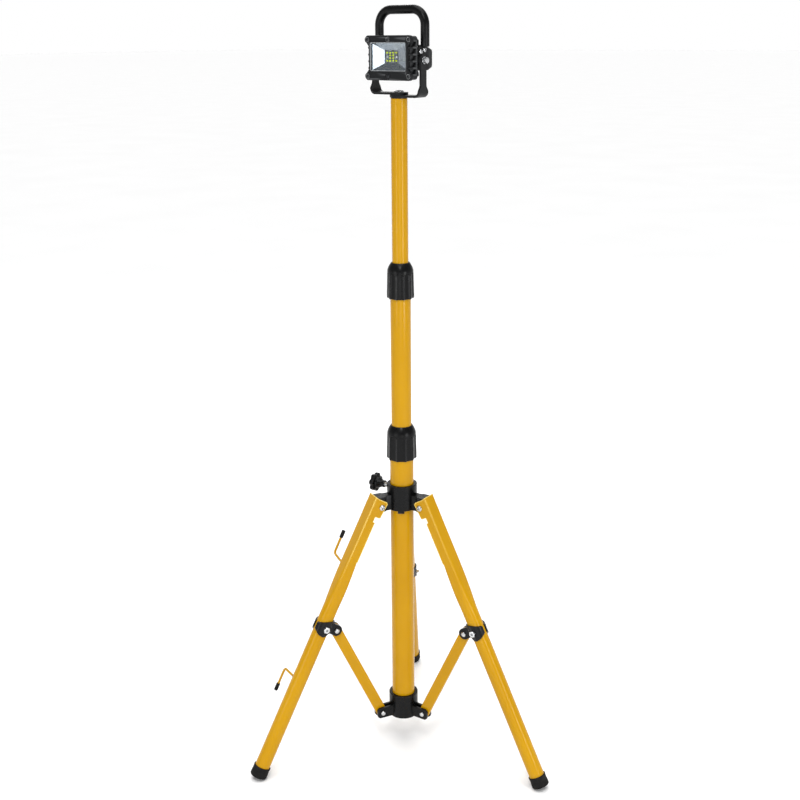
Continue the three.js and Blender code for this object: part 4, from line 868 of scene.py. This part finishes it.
def build_leg(leg):
    place = leg_frame(leg)
    body = f"leg_{leg}"
    face = ALONG_Y if leg == "left" else ALONG_Y @ turn(180, "X")
    dress(f"leg_{leg}", "steel", leg_tube(), place, YELLOW_WITH_PAINTED_FOLD_HIGHLIGHT, body)
    floor = placed(block(-400, 400, -400, 400, -200, 0), place.inverted())
    dress(f"foot_{leg}", "rubber", cut(foot_cap(), floor), place, RUBBER, body)
    dress(f"leg_clamp_{leg}", "moulding", leg_clamp(), place, PLASTIC, body)
    seat = LEG_RADIUS + 3
    bolt = cross_pin(hex_head(5.5, seat, seat + 4, 2.2), hex_head(5.5, seat, seat + 4), seat + 1, face)
    dress(f"clamp_bolt_{leg}", "bright", bolt, place, ZINC, body)
    rivet = cross_pin(dome(4.2, PIN_SEAT, 2.8), dome(4.2, PIN_SEAT, 2.0, 0.5), EAR_OUT + 1, face)
    dress(f"brace_rivet_{leg}", "bright", rivet, place @ shift(-LUG_REACH, 0, 0), ZINC, body)
    pivot = place.inverted() @ centre(f"leg_screw_{leg}")
    seat = LEG_SOCKET
    screw = cross_pin(screw_head(4.9, seat, 2.5, 0.72), hex_head(4.6, seat, seat + 2.6), seat + 0.5, face)
    dress(f"leg_screw_{leg}", "bright", screw, place @ shift(pivot.x, 0, pivot.z), ZINC, body)


def leg_clamp():
    """A saddle open to the outside, with two ears that hold the brace's end."""
    inner, outer = LEG_SOCKET, LEG_SOCKET + 2.4
    opening, half_height = 15, 18
    ear_top, ear_foot = 10.4, -7.5
    brace_room = 9.6
    band = arc(0, 0, outer, opening, 360 - opening, 64) + arc(0, 0, inner, 360 - opening, opening, 64)
    shield = [(-outer - 2, 14.8), (-9, 14.6), (0, 12.9), (8, 9.3), (outer + 1, 4.6), (outer + 1, -3, 2),
              (8.7, -12, 5), (0, -14.2, 6), (-4, -12.5, 3), (-8, ear_foot, 1.5), (-outer - 2, ear_foot)]
    saddle = common(prism(band, -half_height, half_height), slab(shield, -outer - 2, outer + 2))
    ear = [(-inner - 0.6, ear_top), *arc(-LUG_REACH, 0, LUG_RADIUS, 90, 270, 20), (-inner - 0.6, ear_foot)]
    ears = [slab(ear, EAR_IN, EAR_OUT, 0.5), slab(ear, -EAR_OUT, -EAR_IN, 0.5)]
    web = block(-outer - 1.2, -inner - 0.6, -EAR_OUT, EAR_OUT, ear_foot, ear_top)
    swing = [placed(rod(brace_room, -EAR_IN, EAR_IN, 48), shift(-LUG_REACH, 0, 0) @ ALONG_Y),
             block(-LUG_REACH, brace_room - LUG_REACH, -EAR_IN, EAR_IN, -20, 0)]
    return eased(cut(joined(saddle, *ears, web), *swing), 0.45)


def build_braces():
    half_width, half_thick, hole = 9, 3, 3.3
    for leg in LEGS:
        r_foot, z_foot = planar(leg, joint_place(f"brace_{leg}_fold"))
        r_head, z_head = planar(leg, joint_place(f"leg_{leg}_fold"))
        length = hypot(r_head - r_foot, z_head - z_foot)
        tilt = atan2(r_head - r_foot, z_head - z_foot)
        outline = arc(0, length, half_width, 0, 180, 20) + arc(0, 0, half_width, 180, 360, 20)
        strip = slab(outline, -half_thick, half_thick, 0.9)
        holes = [placed(rod(hole, -5, 5), shift(0, 0, z) @ ALONG_Y) for z in (0, length)]
        place = spoke(leg) @ shift(r_foot, 0, z_foot) @ Matrix.Rotation(tilt, 4, "Y")
        dress(f"brace_{leg}", "strip", cut(strip, *holes), place, YELLOW, f"brace_{leg}")


HOOK_WIRE, HOOK_OUT, HOOK_X = 2.0, 45.0, 7.5


def build_hooks():
    place = leg_frame("left")
    for name, start, way, root in (("upper", 108.0, 1, -12.8), ("lower", -98.0, -1, -11.5)):
        stops = [(HOOK_X, root, start), (HOOK_X, -HOOK_OUT, start + 3 * way),
                 (HOOK_X, -HOOK_OUT, start + 42 * way)]
        wire = bar(bent_path(stops, 6), disc(HOOK_WIRE), (1, 0, 0))
        dress(f"cable_hook_{name}", "wire", wire, place, YELLOW, "leg_left")
        tip = turned([(0, 44), (3.1, 44, 2.2), (3.1, 31, 0.6), (HOOK_WIRE + 0.1, 31),
                      (HOOK_WIRE + 0.1, 42.3), (0, 42.3)], 40)
        if way < 0:
            placed(tip, turn(180, "X"))
        dress(f"hook_tip_{name}", "rubber", tip, place @ shift(HOOK_X, -HOOK_OUT, start), RUBBER, "leg_left")


# ---- bracket ----

ARM_INNER, STRIP_THICK, ARM_WIDTH, FOOT_WIDTH = 42.5, 3.5, 13.0, 22.0
BEND = 9.0
BOLT_HOLE, PIVOT_HOLE = 4.35, 3.35


def bracket_angle(bottom):
    """One half of the bracket: a foot under the lamp and an arm up its right side."""
    outer = ARM_INNER + STRIP_THICK
    axis = TILT.z
    profile = [(-60, bottom), (outer, bottom, BEND), (outer, axis + 20), (ARM_INNER, axis + 20),
               (ARM_INNER, bottom + STRIP_THICK, BEND - STRIP_THICK), (-60, bottom + STRIP_THICK)]
    wide, slim = FOOT_WIDTH / 2, ARM_WIDTH / 2
    front = [(-wide, bottom - 1), (wide, bottom - 1), (wide, bottom + 9.5, 6), (slim, bottom + 16, 8)]
    front += arc(0, axis, 7.5, -30, 210, 24)
    front += [(-slim, bottom + 16, 8), (-wide, bottom + 9.5, 6)]
    plan = arc(-3.5, 0, wide, 90, 270, 28) + [(outer + 1, -wide), (outer + 1, wide)]
    angle = common(slab(profile, -wide - 1, wide + 1, steps=12), cheek(front, -70, 70, steps=6))
    angle = common(angle, prism(plan, bottom - 1, axis + 30))
    angle = cut(angle, rod(BOLT_HOLE, bottom - 2, bottom + STRIP_THICK + 2),
                placed(rod(PIVOT_HOLE, ARM_INNER - 2, outer + 2), shift(0, 0, axis) @ ALONG_X))
    return eased(angle, 0.4)


def build_bracket():
    for node, facing in (("bracket_right", 0), ("bracket_left", 180)):
        angle = bracket_angle(corners(node)[0].z)
        dress(node, "strip", angle, UPRIGHT @ turn(facing, "Z"), STRIP, "bracket")
    low, high = corners("mount_bolt")
    seat = high.z - 2.4
    head = turned([(0, seat), (7.5, seat, 0.3), (7.5, seat + 1, 0.6), (5.4, high.z, 0.8), (0, high.z)], 48)
    socket = placed(prism(disc(2.9, 6), seat + 0.7, high.z + 1), turn(20, "Z"))
    bolt = together(cut(head, socket), rod(4, low.z, seat + 0.3))
    dress("mount_bolt", "bright", bolt, UPRIGHT, ZINC, "top_mast")


# ---- lamp head: x across, y back, z up ----

BEZEL = Sizes(width=83.0, height=63.0, front=-26.0, back=-19.5, lip=1.5, corner=6.0)
WINDOW = Sizes(width=67.0, height=40.0, rise=1.6, corner=2.5)
PANE = Sizes(width=69.6, height=45.0, front=BEZEL.front + BEZEL.lip + GAP, thickness=2.3)
WAIST, WAIST_TOP, WAIST_FOOT = 35.6, 23.0, 16.0
SCREW_PLACES = [(sx, sz) for sz in (25.6, -25.6) for sx in (-37.6, 0.0, 37.6)]


def window(wider=0.0, corner=0.0):
    """The window's outline, or one wider and taller round the same middle."""
    return rect(WINDOW.width + wider, WINDOW.height + wider, WINDOW.corner + corner, WINDOW.rise)


def pane(wider=0.0):
    return rect(PANE.width + wider, PANE.height + wider, WINDOW.corner, WINDOW.rise)


def build_bezel():
    front, back, corner = BEZEL.front, BEZEL.back, BEZEL.corner
    x, z = BEZEL.width / 2, BEZEL.height / 2
    outline = [(side * u, side * v, r) for side in (1, -1) for u, v, r in (
        (-x, -z, corner), (x, -z, corner), (x, -WAIST_TOP, 1.5), (WAIST, -WAIST_FOOT, 2.0),
        (WAIST, WAIST_FOOT, 2.0), (x, WAIST_TOP, 1.5))]
    frame_plate = slab(outline, front, back, 0.9)
    opening = slab(window(), front - 2, back + 2)
    seat = slab(pane(2 * GAP), front + BEZEL.lip, back + 2)
    rim = slab(window(2.6, 1.3), front - 0.9, front + 1, 0.5)
    bosses = stamped(rod(4.6, -0.6, 1, edge=0.3), SCREW_PLACES, front, ALONG_Y)
    sinks = stamped(rod(3.5, -2, 0.7), SCREW_PLACES, front, ALONG_Y)
    plate = cut(joined(frame_plate, rim, *bosses), opening, seat, *sinks)
    finish("bezel_casting", eased(plate, 0.4), CASTING, "bezel")
    sunk = front + 0.75
    screws = [placed(screw_head(2.9, 0, 1.7), shift(sx, sunk, sz) @ turn(17 * i, "Y") @ turn(90, "X"))
              for i, (sx, sz) in enumerate(SCREW_PLACES)]
    finish("bezel_screws", together(*screws), OXIDE)
    washers = stamped(ring(3.4, 2.95, 0, 0.9, 40, 0.1), SCREW_PLACES, sunk, turn(90, "X"))
    finish("bezel_screw_washers", together(*washers), ZINC)
    seal = cut(slab(window(-0.02), front + 0.5, front + BEZEL.lip - 0.05),
               slab(window(-2, -1), front - 1, front + 4))
    finish("window_seal", seal, SEAL)


def build_glass():
    glass = slab(pane(), PANE.front, PANE.front + PANE.thickness, 0.3)
    finish("front_glass_pane", glass, GLASS, "glass")


FLOOR_Y = -16.2
FLOOR_HALF = (13.0, 9.5)


def rect_ring(y, half, corner, rise, steps):
    """A ring of points round a rectangle that faces the front."""
    points = rounded(rect(2 * half[0], 2 * half[1], corner, rise), steps=steps)
    return [Vector((p.x, y, p.y)) for p in points]


def grown(half, by):
    return half[0] + by, half[1] + by


def build_reflector():
    """A funnel from the window to the board, with a flange behind the glass."""
    front = PANE.front + PANE.thickness + GAP
    wall = 0.7
    mouth = (WINDOW.width / 2 - 0.6, WINDOW.height / 2 - 0.3)
    flange = (PANE.width / 2 - 0.3, PANE.height / 2 - 0.3)
    rings = [rect_ring(y, half, corner, WINDOW.rise, 3) for y, half, corner in (
        (front, flange, 2.0), (front, mouth, 1.2), (front + 0.8, grown(mouth, -0.7), 1.0),
        (FLOOR_Y, FLOOR_HALF, 0.6), (FLOOR_Y + 0.2, grown(FLOOR_HALF, wall), 0.8),
        (front + 0.9, grown(mouth, wall), 1.2), (front + 0.9, flange, 2.0))]
    finish("reflector_funnel", skin(rings, loop=True), REFLECTOR, "reflector", smooth=25)


BOARD_FACE, BOARD_THICK = FLOOR_Y + 0.7, 1.6
LED_PITCH = (5.56, 3.7)


def led_block(x, z, width, height, corner, y0, y1, edge):
    return slab([(x + u, z + v, r) for u, v, r in rect(width, height, corner)], y0, y1, edge)


def build_leds():
    """A board with twelve packages: four rows of four without the middle ones of the outer columns."""
    face, rise = BOARD_FACE, WINDOW.rise
    board = slab(rect(30, 23, 1.5, rise), face, face + BOARD_THICK, 0.15)
    packages, tops = [], []
    for row in range(4):
        for column in range(4):
            if column in (0, 3) and row in (1, 2):
                continue
            x, z = (column - 1.5) * LED_PITCH[0], rise + (row - 1.5) * LED_PITCH[1]
            packages.append(led_block(x, z, 3.8, 2.9, 0.3, face - 0.55, face + 0.05, 0.1))
            tops.append(led_block(x, z, 3.1, 2.15, 0.7, face - 0.66, face - 0.5, 0.08))
    sides = [(side * 1.5 * LED_PITCH[0], rise) for side in (-1, 1)]
    screws = stamped(screw_head(2.2, 0, 1.2), sides, face, turn(90, "X"))
    finish("led_board_plate", together(board, *packages), BOARD, "led_board")
    finish("led_phosphor_tops", together(*tops), PHOSPHOR)
    finish("led_board_screws", together(*screws), ZINC)


HOUSING_BACK = -8.0
BOX = Sizes(width=76.0, height=33.0, back=35.0, back_width=71.0, back_height=26.0, drop=1.5)


def build_housing():
    """The cooling body: fins on both sides, and thin ribs above and below the driver box."""
    width, height, front, back = 82.0, 61.0, BEZEL.back + GAP, HOUSING_BACK
    core = slab(rect(width, height, 5.0), front, back, 0.8)
    fin_pitch, fin_thick, fin_root = 9.5, 2.6, 35.8
    half_gap, half_fin = (fin_pitch - fin_thick) / 2, fin_thick / 2
    slots, fins, ribs = [], [], []
    for i in range(-2, 3):
        z = i * fin_pitch
        slot = block(fin_root, width / 2 + 2, front - 2, back - 3, z - half_gap, z + half_gap)
        slots += [mirrored(slot), slot]
    for i in range(-2, 2):
        z = (i + 0.5) * fin_pitch
        nose = [(fin_root + GAP, front + 2), (fin_root + GAP, BEZEL.front + 2.2, 0.8),
                (fin_root + 1.8, BEZEL.front + 1.2, 1.5), (width / 2 - 0.3, front + 2)]
        fin = prism(nose, z - half_fin, z + half_fin, 0.4)
        fins += [mirrored(fin), fin]
    rib_pitch, rib_half, rib_length = 8.4, 1.1, 11
    reach, box_half = 26.0, BOX.height / 2 + GAP
    for i in range(9):
        x = (i - 4) * rib_pitch
        for z0, z1 in ((box_half - BOX.drop, reach), (-reach, -box_half - BOX.drop)):
            outline = [(back - 1.5, z0), (back + rib_length, z0, 1.5), (back + rib_length, z1, 3.0),
                       (back - 1.5, z1)]
            ribs.append(cheek(outline, x - rib_half, x + rib_half, 0.35))
    pocket = slab(rect(70.2, 47.5, 2.5, WINDOW.rise), front - 2, BOARD_FACE + BOARD_THICK + GAP)
    body = cut(joined(cut(core, *slots), *fins, *ribs), pocket)
    finish("housing_casting", eased(body, 0.35), CASTING, "housing")


LID_SCREWS = [(sx, sz - BOX.drop) for sx in (-30.5, 30.5) for sz in (-8.5, 8.5)]


def box_skin(*rings):
    return skin([rect_ring(y, half, corner, -BOX.drop, 5) for y, half, corner in rings])


def build_driver_box():
    front, back, drop = HOUSING_BACK + GAP, BOX.back, BOX.drop
    half = (BOX.width / 2, BOX.height / 2)
    rear = (BOX.back_width / 2, BOX.back_height / 2)
    taper, taper_share = 12, 0.86
    straight = back - taper
    seam, seam_depth, wall = 18.0, 0.45, 2.6
    rings = [(front, half, 3), (seam - 0.4, half, 3), (seam - 0.1, grown(half, -seam_depth), 3),
             (seam + 0.3, grown(half, -seam_depth), 3), (seam + 0.6, half, 3), (straight, half, 3.2)]
    for k in range(1, 5):
        share = k / 4 * taper_share
        narrowed = [a + (b - a) * share for a, b in zip(half, rear)]
        rings.append((straight + taper * share, narrowed, 3.6))
    rings += [(back - 0.5, grown(rear, -0.4), 3.6), (back, grown(rear, -1.5), 3.2)]
    shell = box_skin(*rings)
    hollow = box_skin((front - 2, grown(half, -wall), 2), (straight, grown(half, -wall), 2),
                      (back - wall, grown(rear, -wall), 2))
    boss_out = ARM_INNER - GAP
    bosses = [placed(turned([(0, half[0] - 2), (8.2, half[0] - 2), (6.8, half[0] + 0.8, 0.8),
                             (6.8, boss_out, 0.5), (0, boss_out)], 48),
                     shift(0, 0, -TILT_DROP) @ turn(90 * side, "Y")) for side in (1, -1)]
    recess = slab(rect(52, 16, 3, -drop), back - 0.5, back + 2)
    button_hole = placed(rod(6.8, back - 6, back + 3, 48), shift(0, 0, -drop) @ ALONG_Y)
    wells = stamped(rod(2.5, back - 1.2, back + 2, 24), LID_SCREWS, 0, ALONG_Y)
    body = cut(joined(cut(shell, hollow), *bosses), recess, button_hole, *wells)
    finish("driver_box_casting", eased(body, 0.35), CASTING, "driver_box")
    screws = stamped(screw_head(2.2, 0, 1.3), LID_SCREWS, back - 1.15, turn(-90, "X"))
    finish("driver_box_screws", together(*screws), ZINC)


def build_gland():
    """A hexagonal nut under the box with a ribbed nozzle; heights run down from the box."""
    top = BOX.drop + BOX.height / 2 + GAP
    radius, groove, taper, rib_pitch = 5.9, 0.6, 0.25, 1.5
    profile = [(0, top + 2.6), (radius, top + 2.6)]
    z = top + 3.2
    for k in range(4):
        crest = radius - taper * k
        profile += [(crest, z, 0.2), (crest, z + 0.9, 0.2), (crest - groove, z + 1.1, 0.1),
                    (crest - groove, z + 1.4, 0.1)]
        z += rib_pitch
    profile += [(4.9, z + 0.2), (3.9, top + 11, 0.8), (1.8, top + 11, 0.3), (1.8, top + 6), (0, top + 6)]
    gland = together(hex_head(7, top, top + 3), turned(profile, 48), rod(3.1, top - 3, top + 1))
    dress("cable_gland", "nut", gland, HEAD @ shift(0, 23, 0) @ turn(180, "X"), PLASTIC, "head")


def build_button():
    back = BOX.back
    cap = turned([(0, back - 4.1), (7.7, back - 4.1), (7.7, back - 2.9), (6.5, back - 2.9),
                  (6.5, back + 1.2, 0.3), (5.9, back + 2.6, 0.9), (3.6, back + 2.3, 1.5), (0, back + 2)], 64)
    placed(cap, shift(0, 0, -BOX.drop) @ ALONG_Y)
    finish("power_button_cap", cap, RUBBER, "power_button", body="button")


HANDLE_SCREWS = (("front", -2.4, 8.6), ("rear", 6.0, 11.2))
TONGUE_THICK = 3.5


def build_handle():
    """A bent grip on two feet, and a tongue down each side of the driver box."""
    half, y, top, bottom, radius, bend = 42.0, 8.0, 67.2, 15.2, 6.5, 22.0
    path = bent_path([(-half, y, bottom + 1), (-half, y, top), (half, y, top), (half, y, bottom + 1)],
                     bend, 24)
    grip = bar(path, disc(radius, 40), (0, 1, 0))
    feet = [placed(turned([(0, bottom), (radius, bottom, 1.2), (radius, bottom + 4), (0, bottom + 4)], 40),
                   shift(side * half, y, 0)) for side in (-1, 1)]
    inner = BOX.width / 2 + GAP
    front, back, low = -7.0, 13.5, 4.8
    tongue = [(front, low, 5), (back, low, 5), (back, bottom + 3, 1), (front + 5, bottom + 3, 1),
              (front, bottom - 3, 3)]
    plates = [cheek(tongue, inner, inner + TONGUE_THICK, 0.4)]
    plates.append(mirrored(plates[0]))
    holes = [placed(rod(2.1, -60, 60), shift(0, sy, sz) @ ALONG_X) for _, sy, sz in HANDLE_SCREWS]
    body = cut(joined(grip, *feet, *plates), *holes)
    finish("handle_grip", eased(body, 0.5, 55), PLASTIC, "handle", smooth=50)


def build_side_fasteners():
    """Two handle screws and the tilt bolt on each side of the head."""
    inner = BOX.width / 2
    seat = inner + GAP + TONGUE_THICK + GAP
    outer = ARM_INNER + STRIP_THICK + GAP
    bolt_in = inner - 2.6 - GAP
    for side, name in ((1, "right"), (-1, "left")):
        for i, (end, sy, sz) in enumerate(HANDLE_SCREWS):
            screw = together(placed(screw_head(3.4, seat, 2.2), turn(30 * i + 12, "Z")),
                             rod(1.8, seat - 9, seat + 0.5, 24))
            place = HEAD @ shift(0, sy, sz) @ turn(90 * side, "Y")
            dress(f"handle_screw_{name}_{end}", "bright", screw, place, ZINC, "head")
        bolt = together(ring(5.2, 3.1, outer, outer + 1.2, 40, 0.2), hex_head(4.6, outer + 2.4, outer + 6.2),
                        rod(3, bolt_in - 2, outer + 3), hex_head(4.2, bolt_in - 5, bolt_in))
        place = Matrix.Translation(TILT) @ turn(90 * side, "Y")
        dress(f"pivot_bolt_{name}", "bright", bolt, place, ZINC, "head")


# ---- pieces that hide inside and keep their CAD shape ----

HIDDEN = {"collet_lower": NYLON, "collet_upper": NYLON, "middle_bush": NYLON, "top_bush": NYLON,
          "top_plug": PLASTIC}


build_tubes()
build_collars()
build_lower_hub()
build_upper_hub()
build_knob()
for leg_name in LEGS:
    build_leg(leg_name)
build_braces()
build_hooks()
build_bracket()
build_bezel()
build_glass()
build_reflector()
build_leds()
build_housing()
build_driver_box()
build_gland()
build_button()
build_handle()
build_side_fasteners()
for hidden, (surface, _) in HIDDEN.items():
    frame["nodes"][hidden].data.materials[0] = surface
